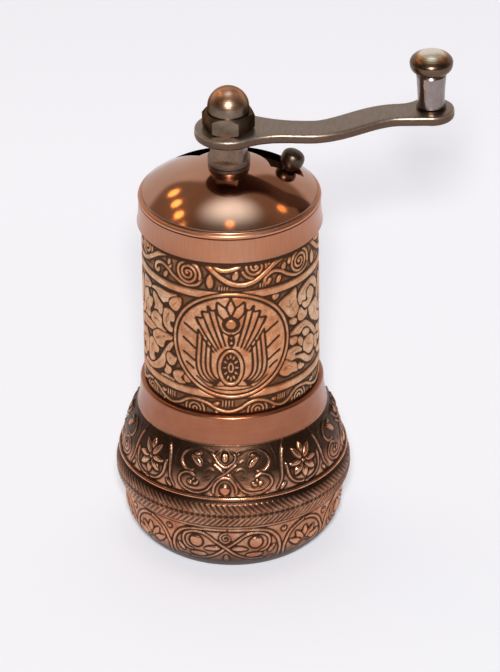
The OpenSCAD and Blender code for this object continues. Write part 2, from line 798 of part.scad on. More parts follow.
// Tapered grip that turns on the pin
module knob_sleeve() {
    bore_r = knob_pin_d / 2 + run_fit;
    room_r = pin_head_d / 2 + run_fit;
    low_r = grip_d0 / 2;
    top_r = grip_d1 / 2;
    color(copper)
        at_knob(knob_z)
            rotate_extrude()
                polygon(concat(
                    [[bore_r, 0], [low_r - fine_chamfer, 0], [low_r, fine_chamfer]],
                    curve([low_r, chamfer], [low_r, sleeve_h / 2], [top_r, sleeve_h - chamfer], 5),
                    [[top_r, sleeve_h - chamfer], [top_r - fine_chamfer, sleeve_h], [room_r, sleeve_h]],
                    [[room_r, sleeve_h - head_room], [bore_r, sleeve_h - head_room]]));
}

// Domed cap pressed into the grip: neck, full round rim, shallow dome
cap_plug = 0.6;
cap_neck = 0.4;
module knob_cap() {
    cap_r = cap_d / 2;
    plug_r = pin_head_d / 2 + run_fit - fixed_fit;
    neck_in_r = grip_d1 / 2 - cap_neck;
    sole_r = cap_r * 0.74;
    waist_z = cap_h * 0.48;
    crown_r = cap_r * 0.72;
    crown_z = cap_h * 0.82;
    color(copper)
        at_knob(knob_z + sleeve_h)
            rotate_extrude()
                polygon(concat(
                    [[0, -cap_plug], [plug_r, -cap_plug], [plug_r, 0], [neck_in_r, 0], [neck_in_r, cap_neck]],
                    curve([sole_r, cap_neck], [cap_r, cap_h * 0.17], [cap_r, waist_z], 6),
                    curve([cap_r, waist_z], [cap_r, cap_h * 0.68], [crown_r, crown_z], 6),
                    curve([crown_r, crown_z], [cap_r * 0.4, cap_h], [0, cap_h], 6),
                    [[0, cap_h]]));
}

// Shutter: a sector of a thin dome on a hub ring, with a hole for its knob
module shutter() {
    function shell(from, to) =
        concat(dome_line(shutter_in_r, from, to, 8), dome_line(shutter_out_r, to, from, 8));
    color(copper)
        difference() {
            union() {
                rotate_extrude()
                    polygon(shell(boss_r + run_fit, shutter_hub_r));
                rotate([0, 0, shutter_trail])
                    rotate_extrude(angle = shutter_lead - shutter_trail)
                        polygon(shell(shutter_hub_r - past, shutter_r));
            }
            at_shutter_knob()
                cylinder(d = stem_d + 2 * fixed_fit, h = dome_r + past);
        }
}

// The shutter's knob stands square to the dome
module at_shutter_knob() {
    translate([0, 0, dome_z])
        rotate([0, knob_tilt, knob_angle])
            children();
}

// Shutter knob: ball-shaped head, stem through the window, riveted end under the shutter
module shutter_knob() {
    head_r = shutter_knob_d / 2;
    stem_r = stem_d / 2;
    head_gap_z = 0.4;
    head_z = dome_r + head_gap_z;
    sole_r = head_r * 0.7;
    top = dome_r + shutter_knob_h;
    middle = (head_z + top) / 2;
    rivet_t = 0.5;
    rivet_top = shutter_in_r - shutter_gap;
    color(bronze)
        at_shutter_knob()
            rotate_extrude()
                polygon(concat(
                    [[0, rivet_top - rivet_t], [stem_r + chamfer, rivet_top - rivet_t]],
                    [[stem_r + 2 * chamfer, rivet_top], [stem_r, rivet_top], [stem_r, head_z]],
                    curve([sole_r, head_z], [head_r, head_z + chamfer], [head_r, middle], 6),
                    curve([head_r, middle], [head_r, top], [0, top], 9),
                    [[0, top]]));
}

// Cone burr: fine milling teeth below, breaking lobes above, slotted for the drive pin
module inner_burr() {
    fine_top_r = burr_r - fine_h * bore_taper;
    lobe_r = fine_top_r - tooth_depth;
    lobe_h = burr_h - fine_h;
    lobe_lap = 0.2;
    lobe_twist = tooth_twist * 1.6;
    color(steel)
        difference() {
            translate([0, 0, burr_z])
                union() {
                    linear_extrude(height = fine_h, twist = tooth_twist * fine_h / ring_h,
                                   scale = fine_top_r / burr_r, slices = 4)
                        polygon(saw(fine_teeth, burr_r, tooth_depth));
                    translate([0, 0, fine_h - lobe_lap])
                        linear_extrude(height = lobe_h + lobe_lap, twist = lobe_twist,
                                       scale = burr_top_d / 2 / lobe_r, slices = 8)
                            polygon(saw(lobes, lobe_r, lobe_depth));
                }
            translate([0, 0, burr_z - past])
                cylinder(r = shaft_r + run_fit, h = burr_h + 2 * past);
            translate([-drive_pin_d / 2 - run_fit, -2 * burr_r, slot_z])
                cube([drive_pin_d + 2 * run_fit, 4 * burr_r, burr_h]);
        }
}

// Scalloped thumb nut that sets the height of the cone burr
scallops = 10;
scallop_r = 1.2;
scallop_out = 0.5;
hub_w = 1.8;
hub_rise = 0.6;
module adjuster_nut() {
    rim_r = adjuster_d / 2;
    rim_top = adjuster_h - hub_rise;
    hub_r = shaft_r + hub_w;
    color(brass)
        translate([0, 0, adjuster_z])
            difference() {
                rotate_extrude()
                    polygon([[0, 0], [rim_r - chamfer, 0], [rim_r, chamfer], [rim_r, rim_top - chamfer],
                             [rim_r - chamfer, rim_top], [hub_r, rim_top],
                             [hub_r, adjuster_h], [0, adjuster_h]]);
                translate([0, 0, -past])
                    cylinder(r = shaft_r + run_fit, h = adjuster_h + 2 * past);
                for (i = [0 : scallops - 1])
                    rotate([0, 0, 360 / scallops * i])
                        translate([rim_r + scallop_out, 0, -past])
                            cylinder(r = scallop_r, h = adjuster_h + 2 * past, $fn = 32);
            }
}

base_cup();
upper_body();
lid();
top_bush();
shutter_clip();
outer_burr();
burr_screws();
bearing_bridge();
bridge_bush();
bridge_screws();
shaft();
drive_pin();
burr_spring();
drive_collar();
crank_arm();
cap_nut();
knob_washer();
knob_pin();
knob_sleeve();
knob_cap();
shutter();
shutter_knob();
inner_burr();
adjuster_nut();
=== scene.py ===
"""Looks of the hand coffee mill: cast relief, patina, polished copper, bronze, steel and brass."""

import math

import bmesh
import bpy
import numpy as np
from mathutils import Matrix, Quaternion, Vector


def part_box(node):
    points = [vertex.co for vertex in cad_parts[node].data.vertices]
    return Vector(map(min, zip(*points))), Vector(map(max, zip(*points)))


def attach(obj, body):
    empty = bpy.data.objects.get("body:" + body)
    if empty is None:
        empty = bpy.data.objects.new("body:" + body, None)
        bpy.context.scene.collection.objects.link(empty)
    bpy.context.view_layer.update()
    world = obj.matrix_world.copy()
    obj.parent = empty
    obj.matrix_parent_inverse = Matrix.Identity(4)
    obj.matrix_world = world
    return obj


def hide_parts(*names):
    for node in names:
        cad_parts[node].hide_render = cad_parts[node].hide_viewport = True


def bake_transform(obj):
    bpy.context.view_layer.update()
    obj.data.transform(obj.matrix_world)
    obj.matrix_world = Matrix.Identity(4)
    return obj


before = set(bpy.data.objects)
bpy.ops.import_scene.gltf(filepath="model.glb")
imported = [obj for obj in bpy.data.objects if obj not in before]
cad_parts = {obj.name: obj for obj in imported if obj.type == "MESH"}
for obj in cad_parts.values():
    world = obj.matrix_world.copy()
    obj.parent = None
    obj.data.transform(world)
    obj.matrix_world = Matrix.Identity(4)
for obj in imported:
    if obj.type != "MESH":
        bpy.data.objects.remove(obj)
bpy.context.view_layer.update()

MM = 0.001


def high(node, axis):
    """Highest coordinate of a CAD node along an axis, in millimetres."""
    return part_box(node)[1][axis] / MM


def low(node, axis):
    """Lowest coordinate of a CAD node along an axis, in millimetres."""
    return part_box(node)[0][axis] / MM


def halfway(node, axis):
    """Middle of a CAD node along an axis, in millimetres."""
    return 0.5 * (low(node, axis) + high(node, axis))


# Sizes read from the frame, in millimetres, with a little room round the burr ring and the bridge
CUP_H = high("base_cup", 2)
CUP_R = high("base_cup", 0)
BODY_R = high("upper_body", 0)
RIM_Z = high("upper_body", 2)
SPIGOT_Z = low("upper_body", 2)
RING_R = high("outer_burr", 0) + 0.02
RING_TOP = high("outer_burr", 2)
HOPPER_R = high("bearing_bridge", 0) + 0.05
LEDGE_Z = low("bearing_bridge", 2)

# Relief: cell of its height field, height of the ornament, radius that it is unrolled at, in millimetres
GRAIN = 0.1
BODY_DEPTH = 0.34
CUP_DEPTH = 0.5
BODY_GIRTH_R = 19.5
CUP_GIRTH_R = 24.5
BODY_GIRTH = 2 * math.pi * BODY_GIRTH_R
CUP_GIRTH = 2 * math.pi * CUP_GIRTH_R
# Narrow moat round close-set strokes, and the final softening in cells
THIN = 0.2
SOFT = 1.1
# Middle line of the cup's first quarter, and half the width of a quarter
CUP_START = -1.9
EIGHTH = 19.24
# Leaves longer than this have a midrib
RIBBED = 2.8

# Fineness of the castings: columns round, rows up, and steps along the cup's profile in millimetres
BODY_COLUMNS, BODY_ROWS = 680, 172
CUP_COLUMNS, CARVED_STEP, PLAIN_STEP = 700, 0.24, 0.2

# Material numbers on the two castings
CARVED = 0
PLAIN = 1

WHITE = (1.0, 1.0, 1.0)


def ease(x):
    """Smooth step from 0 to 1."""
    x = np.clip(x, 0, 1)
    return x * x * (3 - 2 * x)


def blur(field, sigma):
    """Gaussian blur, in cells, of a field whose columns wrap."""
    reach = max(1, int(3 * sigma))
    taps = np.exp(-0.5 * (np.arange(-reach, reach + 1) / sigma) ** 2)
    taps /= taps.sum()
    across = sum(w * np.roll(field, k, 1) for k, w in zip(range(-reach, reach + 1), taps))
    padded = np.pad(across, ((reach, reach), (0, 0)), mode="edge")
    return sum(w * padded[k : k + field.shape[0]] for k, w in enumerate(taps))


def smooth(points, steps=7):
    """Catmull-Rom curve through the points."""
    p = np.array(points, float)
    p = np.vstack([2 * p[0] - p[1], p, 2 * p[-1] - p[-2]])
    t = np.linspace(0, 1, steps, endpoint=False)[:, None]
    out = []
    for a, b, c, d in zip(p[:-3], p[1:-2], p[2:-1], p[3:]):
        out.append(b + 0.5 * t * (c - a + t * (2 * a - 5 * b + 4 * c - d + t * (3 * (b - c) + d - a))))
    return np.vstack(out + [p[-2:-1]])


def arc(centre, rx, ry, start, end, steps=28):
    """Points along an ellipse between two angles in degrees."""
    a = np.radians(np.linspace(start, end, steps))
    return np.column_stack([centre[0] + rx * np.cos(a), centre[1] + ry * np.sin(a)])


def spiral(centre, inner, outer, start, turns):
    """Points from the outside of a spiral to its eye."""
    t = np.linspace(0, 1, int(26 * abs(turns)))
    a = np.radians(start) + 2 * math.pi * turns * t
    r = outer + (inner - outer) * t
    return np.column_stack([centre[0] + r * np.cos(a), centre[1] + r * np.sin(a)])


class Relief:
    """Heights from 0 to 1 over an unrolled surface in millimetres: u runs round and wraps, v runs up."""

    def __init__(self, girth, v0, v1):
        self.cols = int(round(girth / GRAIN))
        self.du = girth / self.cols
        self.v0 = v0
        self.rows = int(round((v1 - v0) / GRAIN)) + 1
        self.v = v0 + GRAIN * np.arange(self.rows)[:, None]
        self.h = np.zeros((self.rows, self.cols))

    def window(self, points, margin):
        """Cells near some points, and their coordinates."""
        least = points.min(0) - margin
        most = points.max(0) + margin
        cols = np.arange(math.floor(least[0] / self.du), math.ceil(most[0] / self.du) + 1)
        first = max(0, math.floor((least[1] - self.v0) / GRAIN))
        last = min(self.rows - 1, math.ceil((most[1] - self.v0) / GRAIN))
        rows = np.arange(first, last + 1)
        u, v = np.meshgrid(cols * self.du, self.v0 + rows * GRAIN)
        return np.ix_(rows, cols % self.cols), u, v

    def distance(self, points, half, margin):
        """Cells round a stroke and their distance outside its edge."""
        half = np.broadcast_to(half, len(points))
        index, u, v = self.window(points, half.max() + margin)
        best = np.full(u.shape, 99.0)
        for a, b, wa, wb in zip(points[:-1], points[1:], half[:-1], half[1:]):
            run = b - a
            t = np.clip(((u - a[0]) * run[0] + (v - a[1]) * run[1]) / (run @ run + 1e-9), 0, 1)
            d = np.hypot(u - a[0] - t * run[0], v - a[1] - t * run[1]) - wa - t * (wb - wa)
            np.minimum(best, d, out=best)
        return index, best

    def put(self, index, d, rise, moat, edge):
        """Raises what lies inside a distance field, and clears a moat round it."""
        old = self.h[index]
        if moat > 0:
            old = old * ease(d / moat)
        self.h[index] = np.maximum(old, rise * ease(-d / edge))

    def stroke(self, points, half, rise=1.0, moat=0.34, edge=0.34):
        """Raises a line of some half width, one for all or one for each point."""
        index, d = self.distance(points, half, moat + 0.1)
        self.put(index, d, rise, moat, edge)

    def groove(self, points, half, depth):
        """Cuts a line into what is there."""
        index, d = self.distance(points, half, 0.3)
        self.h[index] *= 1 - depth * ease(0.5 - d / 0.24)

    def patch(self, outline, rise=0.95, grow=0.3, moat=0.1, edge=0.3):
        """Raises the inside of a closed outline and a little round it, rounded towards its edge."""
        index, d = self.distance(outline, 0.0, grow + moat + 0.1)
        u, v = self.window(outline, grow + moat + 0.1)[1:]
        inside = np.zeros(u.shape, bool)
        for a, b in zip(outline[:-1], outline[1:]):
            if a[1] != b[1]:
                cross = a[0] + (v - a[1]) * (b[0] - a[0]) / (b[1] - a[1])
                inside ^= ((a[1] > v) != (b[1] > v)) & (u < cross)
        self.put(index, np.where(inside, -d, d) - grow, rise, moat, edge)

    def oval(self, centre, rx, ry, rise=1.0, moat=0.34, edge=0.4):
        reach = np.array([centre]) + np.array([[-rx, -ry], [rx, ry]])
        index, u, v = self.window(reach, moat + 0.2)
        d = (np.hypot((u - centre[0]) / rx, (v - centre[1]) / ry) - 1) * min(rx, ry)
        self.put(index, d, rise, moat, edge)

    def band(self, v0, v1, rise=1.0, edge=0.22):
        """Raises a ring between two heights."""
        d = np.maximum(v0 - self.v, self.v - v1)
        self.h = np.maximum(self.h * ease(d / 0.25), rise * ease(-d / edge))

    def fill(self, reach, *levels):
        """Raises the bare ground to a level for each height, but not within some cells of the ornament."""
        near = blur((self.h > 0.25).astype(float), reach)
        self.h = np.maximum(self.h, np.interp(self.v, *zip(*levels)) * ease(1 - near / 0.3))

    def finish(self, share):
        """Softens the relief and leaves a share of it at each height."""
        self.h = blur(self.h, SOFT) * share

    def sample(self, field, u, v):
        """Values of a field at the given places, between the cells."""
        x = u / self.du
        y = np.clip((v - self.v0) / GRAIN, 0, self.rows - 1.001)
        x0 = np.floor(x).astype(int)
        y0 = np.floor(y).astype(int)
        fx, fy = x - x0, y - y0
        a, b = x0 % self.cols, (x0 + 1) % self.cols
        top = field[y0 + 1, a] * (1 - fx) + field[y0 + 1, b] * fx
        return (field[y0, a] * (1 - fx) + field[y0, b] * fx) * (1 - fy) + top * fy


class Pen:
    """Draws on a relief from a place of its own, mirrored where asked."""

    def __init__(self, relief, u, v=0.0, mirror=1):
        self.relief = relief
        self.origin = np.array([u, v])
        self.sense = np.array([mirror, 1])

    def place(self, points):
        return self.origin + self.sense * np.array(points, float)

    def line(self, points, half, end=None, **kind):
        points = self.place(points)
        self.relief.stroke(points, np.linspace(half, half if end is None else end, len(points)), **kind)

    def curve(self, points, half, end=None, **kind):
        self.line(smooth(points), half, end, **kind)

    def leaf(self, root, tip, half, bend=0.0, vein=True, **kind):
        a, b = np.array(root, float), np.array(tip, float)
        run = b - a
        side = np.array([-run[1], run[0]]) / np.linalg.norm(run)
        t = np.linspace(0, 1, 13)[:, None]
        points = self.place(a + run * t + side * bend * 4 * t * (1 - t))
        width = half * np.sin(math.pi * t[:, 0] ** 0.75) ** 0.8 + 0.06
        self.relief.stroke(points, width, **kind)
        if vein:
            self.relief.groove(points[2:10], 0.07, 0.55)

    def bud(self, root, tip, half, **kind):
        """A small leaf without a vein."""
        self.leaf(root, tip, half, vein=False, **kind)

    def fan(self, centre, angles, inner, outer, half, **kind):
        for a in np.radians(angles):
            way = np.array([math.cos(a), math.sin(a)])
            self.leaf(np.array(centre) + inner * way, np.array(centre) + outer * way, half, **kind)

    def ticks(self, places, low, high):
        for x in places:
            self.line([(x, low), (x + 0.1, high)], 0.19, moat=0.12, edge=0.18)

    def oval(self, centre, rx, ry, **kind):
        self.relief.oval(self.place(centre), rx, ry, **kind)

    def groove(self, points, half, depth=0.85):
        self.relief.groove(self.place(smooth(points)), half, depth)

    def patch(self, points):
        """A raised leaf inside a smooth closed outline."""
        points, steps = list(points), 5
        self.relief.patch(self.place(smooth(points[-1:] + points + points[:2], steps)[steps:-steps]))


def midrib(outline):
    """Line along the middle of an outline's longer way."""
    points = np.array(outline, float)
    middle = points.mean(0)
    way = np.linalg.svd(points - middle)[2][0]
    turn = np.column_stack([way, (-way[1], way[0])])
    ring = smooth(np.vstack([points, points[:1]]), 12) - middle
    along, across = (ring @ turn).T
    rib = []
    for share in (0.2, 0.35, 0.5, 0.65, 0.8):
        at = along.min() + share * np.ptp(along)
        near = across[np.abs(along - at) < 0.12 * np.ptp(along)]
        rib.append(middle + turn @ (at, 0.5 * (near.min() + near.max())))
    return rib


def pair(relief, u):
    """A pen and its mirror image."""
    return [Pen(relief, u, mirror=side) for side in (1, -1)]


def upper_frieze(relief):
    """Running scroll: a wave with spirals hung in its crests and stood in its troughs by turns."""
    hung = (-9.8, 17.4, 50.1, 82.8)
    stood = (-23.4, 5.6, 33.7, 66.4)
    hung_z, stood_z = 73.5, 75.5
    for u in hung:
        pen = Pen(relief, u, hung_z)
        pen.leaf((-5.1, -0.4), (-4.5, 1.5), 0.62)
        pen.leaf((5.2, -2.9), (5.2, 0.5), 0.85)
        pen.bud((-9.6, 2.9), (-7.4, 1.2), 0.5)
        pen.bud((-6.6, -3.0), (-5.6, -1.2), 0.6)
        pen.ticks((7.2, 7.8, 8.4, 9.0), -3.3, -2.5)
        pen.curve([(-8.4, -1.7), (-8.9, -2.5), (-9.7, -2.0), (-9.2, -0.7), (-7.4, 0.1), (-5.5, -0.5),
                   (-3.9, -1.7), (-1.6, -2.8), (0.4, -3.0), (2.3, -2.4), (3.3, -1.1)], 0.5, 0.42, moat=THIN)
        pen.line(spiral((0, 0), 0.3, 3.05, -20, 2.7), 0.43, 0.34, moat=THIN)
        pen.oval((0, 0), 0.45, 0.45, moat=0.0)
    for u in stood:
        pen = Pen(relief, u, stood_z)
        pen.leaf((-4.8, -2.7), (-4.1, -0.6), 0.7)
        pen.bud((3.9, 0.4), (4.4, 1.8), 0.42)
        pen.bud((8.4, -1.5), (8.8, 0.2), 0.5)
        pen.ticks((1.0, 1.6, 2.2), -5.2, -4.3)
        pen.curve([(-11.0, 1.0), (-9.4, 0.2), (-7.4, -0.5), (-5.4, -0.3), (-3.7, 0.5), (-2.8, 1.4)],
                  0.55, moat=THIN)
        pen.line(spiral((0, 0), 0.3, 3.0, 200, 2.65), 0.43, 0.34, moat=THIN)
        pen.oval((0, 0), 0.45, 0.45, moat=0.0)
    # The wave: down from each crest to the next trough, and up again
    down = ((0.0, 76.85), (0.26, 76.4), (0.37, 75.0), (0.5, 73.2), (0.65, 71.8), (0.825, 71.35))
    rise = ((0.0, 72.1), (0.195, 73.7), (0.364, 75.2), (0.53, 76.2), (0.76, 76.75))
    stops = sorted(hung + stood)
    stops += [stops[0] + BODY_GIRTH, stops[1] + BODY_GIRTH]
    wave = []
    for a, b in zip(stops[:-1], stops[1:]):
        wave += [(a + share * (b - a), z) for share, z in (rise if a in stood or a == stops[-2] else down)]
    wave = smooth(wave, 5)
    relief.stroke(wave, 0.62, moat=0.3)


def lower_frieze(relief):
    """Low wave over ringed half-rosettes."""
    stops = (-22.0, -8.6, 5.7, 16.8, 30.75, 44.7, 58.65, 72.6, 86.55)
    dip = ((0, 3.3), (0.2, 2.7), (0.38, 1.3), (0.55, 0.75), (0.72, 1.5), (0.86, 2.8))
    wave = []
    for a, b in zip(stops, stops[1:] + (stops[0] + BODY_GIRTH,)):
        pen = Pen(relief, a, CUP_H)
        for radius in (0.5, 1.35, 2.2):
            pen.line(arc((0, 0.9), radius, radius, -40, 220), 0.3, moat=THIN)
        gap = b - a
        pen.bud((0.34 * gap, 0.3), (0.4 * gap, 1.6), 0.5)
        pen.bud((0.62 * gap, 1.6), (0.66 * gap, 0.3), 0.5)
        pen.bud((0.3 * gap, 2.5), (0.42 * gap, 2.9), 0.5)
        pen.ticks([share * gap for share in (0.45, 0.5, 0.55, 0.6)], 2.2, 3.5)
        wave += [(a + share * gap, CUP_H + z) for share, z in dip]
    wave = smooth(wave + [(stops[0] + BODY_GIRTH, CUP_H + 3.3)], 5)
    relief.stroke(wave, 0.42)


def medallion(relief, u):
    """Round field with feathers, an orb over a crescent, and a beaded oval boss."""
    centre, orb, boss = (0, 56.35), (0, 61.7), (-0.2, 50.9)
    whole = Pen(relief, u)
    whole.oval(centre, 14.0, 13.3, rise=0.0, moat=0.3)
    whole.line(arc(centre, 13.5, 12.8, 0, 360, 120), 0.45, moat=0.3, edge=0.4)
    whole.oval(centre, 12.85, 12.15, rise=0.76, moat=0.0, edge=0.35)
    for pen in pair(relief, u):
        # Petals over the orb
        pen.groove([(0.0, 68.1), (0.55, 67.0), (0.95, 65.8), (0.5, 64.5), (0.0, 63.5)], 0.26)
        pen.groove([(0.95, 65.7), (2.0, 66.4), (3.0, 67.1), (3.15, 65.6), (2.8, 64.2), (1.7, 62.9)], 0.26)
        # Feathers that spread from the boss
        roots = [(1.3, 56.4), (2.2, 56.0), (2.9, 55.6), (3.4, 55.1), (4.0, 54.7)]
        tips = [(3.5, 64.9), (5.1, 65.7), (6.5, 64.2), (7.8, 62.6), (7.4, 59.9)]
        for root, tip in zip(roots, tips):
            middle = (0.52 * (root[0] + tip[0]), 0.5 * (root[1] + tip[1]))
            pen.groove([root, middle, tip], 0.24, 0.88)
        pen.groove([(3.15, 65.4), (4.2, 65.0), (5.1, 66.0), (5.2, 64.6), (6.5, 64.5), (6.4, 63.0),
                    (7.9, 62.8), (7.3, 61.2)], 0.26)
        # Side plumes, nested
        outer = np.array([(7.5, 59.6), (7.85, 55.0), (8.05, 51.6), (7.5, 49.0), (5.9, 47.2), (3.6, 46.4)])
        shift = np.array([(1.0, 1.15), (1.05, 0.5), (1.1, 0.1), (1.0, -0.2), (0.75, -0.35), (0.3, -0.4)])
        for k in range(4):
            pen.groove(outer - k * shift, 0.25)
        # Slanted strokes in the side fields
        for x, y, x1, y1 in ((10.8, 60.8, 7.9, 58.9), (11.1, 57.2, 8.2, 55.0), (11.2, 53.7, 8.5, 52.0),
                             (10.5, 51.2, 8.7, 50.0)):
            pen.groove([(x, y), ((x + x1) / 2, (y + y1) / 2 + 0.1), (x1, y1)], 0.25, 0.88)
        # Boat-shaped swag at the foot
        pen.groove([(8.0, 48.2), (5.4, 46.1), (2.6, 45.4), (0, 45.2)], 0.2)
        pen.groove([(4.4, 46.1), (2.2, 46.25), (0, 46.3)], 0.17, 0.8)
    # Orb, crescent and the beads under it
    whole.oval(orb, 2.15, 2.15, rise=0.25, moat=0.0, edge=0.2)
    relief.groove(whole.place(arc(orb, 1.75, 1.75, 0, 360, 40)), 0.3, 0.95)
    whole.oval(orb, 1.4, 1.4, rise=1.0, moat=0.1, edge=0.6)
    whole.groove([(-2.6, 61.3), (-1.9, 59.9), (0, 58.95), (1.9, 59.9), (2.6, 61.3)], 0.22, 0.9)
    whole.oval((0, 57.7), 0.75, 1.5, rise=0.1, moat=0.2, edge=0.3)
    whole.oval((0, 57.05), 0.45, 0.45, moat=0.1)
    whole.oval((0, 58.3), 0.38, 0.38, moat=0.1)
    # Oval boss: ring, sunk field, beads and a bar
    whole.oval(boss, 2.95, 4.65, rise=1.0, moat=0.36, edge=0.3)
    whole.oval(boss, 2.1, 3.75, rise=0.0, moat=0.16)
    for near, far in zip(arc(boss, 1.15, 2.5, 0, 330, 12), arc(boss, 1.75, 3.35, 0, 330, 12)):
        whole.line([near, far], 0.26, 0.2, moat=0.08, edge=0.26)
    whole.line(arc(boss, 0.5, 1.1, 0, 360, 24), 0.2, moat=0.1, edge=0.22)


# Outlines of the leaves beside a medallion: pairs of places round from its middle and up
LEFT_LEAVES = (
    (-21.4,65.7, -20.1,66.4, -18.1,66.8, -15.6,66.8, -12.9,67, -13.6,66.3, -14.7,65.7, -15.3,64.7,
     -16.2,64.3, -16.9,63.9, -18.2,64.7, -19.1,65.4, -20.2,65.8),
    (-14.6,65.2, -13.6,66.1, -12.2,66.6, -11.7,66.2, -11.9,64.8, -12.6,63.5, -13.4,63.1, -14.4,63.6,
     -14.9,64.3),
    (-16.5,62.3, -15.2,62.8, -14.1,62.4, -13.6,61.5, -13.8,60.2, -14.7,60, -15,59.3, -14.6,58.5,
     -14.1,58.2, -14.2,57.4, -15.4,57.4, -16.5,58.1, -17,59.3, -16.9,61),
    (-20.6,64.8, -19.6,64.7, -18.4,63.7, -17.4,63, -17.2,61.5, -18,60.3, -19.1,61.2, -20.4,60.8,
     -19.9,61.8, -20.1,62.8, -20.7,63.8),
    (-25.6,63, -24.6,63.7, -23.5,64.3, -23.2,63.3, -22.4,62.7, -21.2,62.7, -21.6,61.2, -22.4,60,
     -22.6,59.2, -22.1,58.5, -23.1,57.5, -24.2,57.8, -24.6,59.5, -25.6,60.8),
    (-21.7,58.7, -20.6,59.8, -19.4,60.3, -18.2,60, -17.7,59.2, -17.7,57.8, -16.9,57, -16.2,56.7,
     -17.6,56.3, -18.7,56.5, -20.1,56.8, -21.4,57.2, -22,57.8),
    (-25.6,56.7, -23.1,56.8, -20.9,56.7, -19.7,56.3, -20.6,55.7, -21.6,55, -23.6,54.7, -25.6,54.7),
    (-19.1,56, -17.6,56.2, -15.6,56.3, -14.4,56, -14.7,55.3, -16.2,54.7, -16.9,53.8, -17.4,52.5,
     -18.4,52.2, -19.6,52.3, -20.7,53, -21.2,54.2, -20.6,55),
    (-23.2,51.7, -22.4,52.5, -21.2,52.8, -20.1,52.2, -19.1,51.3, -19.4,50.2, -20.7,49.7, -21.1,48.7,
     -20.6,48, -21.6,47.2, -22.9,47, -23.4,48.5, -23.1,50.2),
    (-25.6,53.2, -24.6,53.3, -23.7,52.2, -23.6,50.5, -23.9,48.5, -24.9,47.8, -25.6,47.8),
    (-13.9,54.9, -14.7,53.3, -15.7,51.7, -16.6,50, -16.7,49, -17.2,47.8, -18.4,46.8, -20.1,45.9,
     -22.1,45.2, -24.6,44.7, -25.6,44.7, -25.6,45.9, -23.6,46.2, -21.6,46.5, -19.9,47.7, -18.4,49.2,
     -17.1,51.2, -15.9,53, -14.9,54.3),
    (-14.9,51.8, -13.9,51.3, -13.3,51, -13.6,50, -14.2,49.2, -15.2,49, -15.9,49.7, -16.1,50.7,
     -15.6,51.7),
    (-14.1,47.2, -13.2,48, -11.9,48.3, -11.4,47.8, -12.1,46.8, -11.7,46, -10.9,45.7, -12.2,45.3,
     -13.2,45.5, -13.9,46.2),
    (-18.2,45.2, -16.9,45.7, -15.2,45.8, -13.9,45.3, -15.2,44.9, -16.9,44.8),
    (-16.2,48.5, -15.4,48.3, -14.9,47.7, -15.2,46.7, -16.2,46.3, -16.9,46.7, -16.4,47.5),
    (-25.1,66.8, -23.2,66.9, -21.8,66.3, -22.2,65.3, -23.6,64.8, -24.9,64.2, -25.6,64, -25.6,66.3),
    (-10.9,47.7, -9.7,47, -9.8,46.2, -10.7,46.2, -11.1,46.8),
)
RIGHT_LEAVES = (
    (11.3,65, 12.8,66, 14.4,66.6, 15.9,67.2, 16.2,66, 16.1,64.7, 16.8,63.5, 16.8,61.8, 16.1,60.7,
     14.9,60.5, 13.8,61.3, 12.6,63, 11.6,64.2),
    (16.8,64.5, 18.1,66.2, 20.1,66.9, 22.4,67, 24.1,66.2, 25.3,64.8, 25.3,63.2, 24.1,64, 22.8,65.3,
     21.4,65.9, 20.1,65.3, 19.5,64.3, 19.6,63.3, 19.1,62.7, 18.3,63.3, 17.8,62.5, 17.1,63),
    (20.1,64, 20.6,65, 21.4,65.3, 22.6,64.4, 23.4,63.5, 22.8,62.3, 21.8,61.3, 20.4,60.8, 19.3,61,
     18.4,62, 18.6,62.7, 19.6,62.2, 20.6,62.5),
    (16.8,60.7, 17.6,61.7, 18.9,60.3, 20.1,60, 19.8,58.8, 18.4,58.4, 17.4,58.7, 16.8,59.5),
    (20.9,60.2, 22.4,60.5, 25.3,60.3, 25.3,55.2, 23.8,55.8, 22.3,56.8, 21.4,58.2, 21.1,59.3),
    (14.4,56.2, 15.9,57.3, 18.1,57.8, 19.4,57.6, 20.9,56.5, 22.4,55.2, 23.9,53.7, 25.1,52, 24.4,51.5,
     23.3,52.7, 22.1,54.2, 21.1,55.3, 19.8,56.1, 18.4,56.2, 17.3,55.5, 15.9,55.8),
    (18.4,55.4, 19.4,55.6, 20.8,54.8, 20.9,54.1, 19.8,53.8, 18.8,54.3),
    (16.9,54.4, 17.8,54.1, 18.4,53.3, 18.3,52, 17.4,52.5, 16.8,53.5),
    (18.8,52.8, 20.1,53.3, 21.8,53, 23.3,51.8, 23.6,50.5, 22.8,49.2, 21.3,48.7, 20.1,49.3, 19.4,50,
     18.8,50.5, 18.5,51.7),
    (13,51.8, 13.9,52.5, 15.3,52.8, 16.8,52.2, 17.9,51.2, 17.7,50.8, 16.4,51.1, 15.5,50.9, 15.8,50.3,
     17.4,50, 18.9,49.5, 20.3,48.3, 21.6,47.8, 22.8,48.2, 23.5,47.8, 22.4,46.8, 20.9,46.8, 19.4,47.5,
     17.9,48.8, 16.6,49.6, 15.1,49.8, 13.9,49.7, 12.8,50.5),
    (11.3,49.2, 11.9,50.3, 12.9,50.3, 14.3,49.3, 15.6,48.8, 16.2,47.8, 16.3,46.5, 14.9,46.8, 13.3,46.5,
     11.9,47, 11.2,48),
    (16.8,48, 17.8,47.5, 18.8,46.8, 17.8,46.5, 16.8,46.8),
    (14.3,59.8, 15.4,60, 16.3,59.3, 15.9,58.5, 14.9,58.7, 14.3,59.2),
    (14.1,55.2, 15.3,55.3, 16.3,54.8, 16.1,53.7, 14.9,53.5, 14.2,54.2),
    (23.8,51.5, 25.1,51.2, 25.3,48.5, 24.3,48.7, 23.8,50.2),
    (9.8,67.7, 11.1,67.4, 10.4,66.6, 9.8,66.8),
)
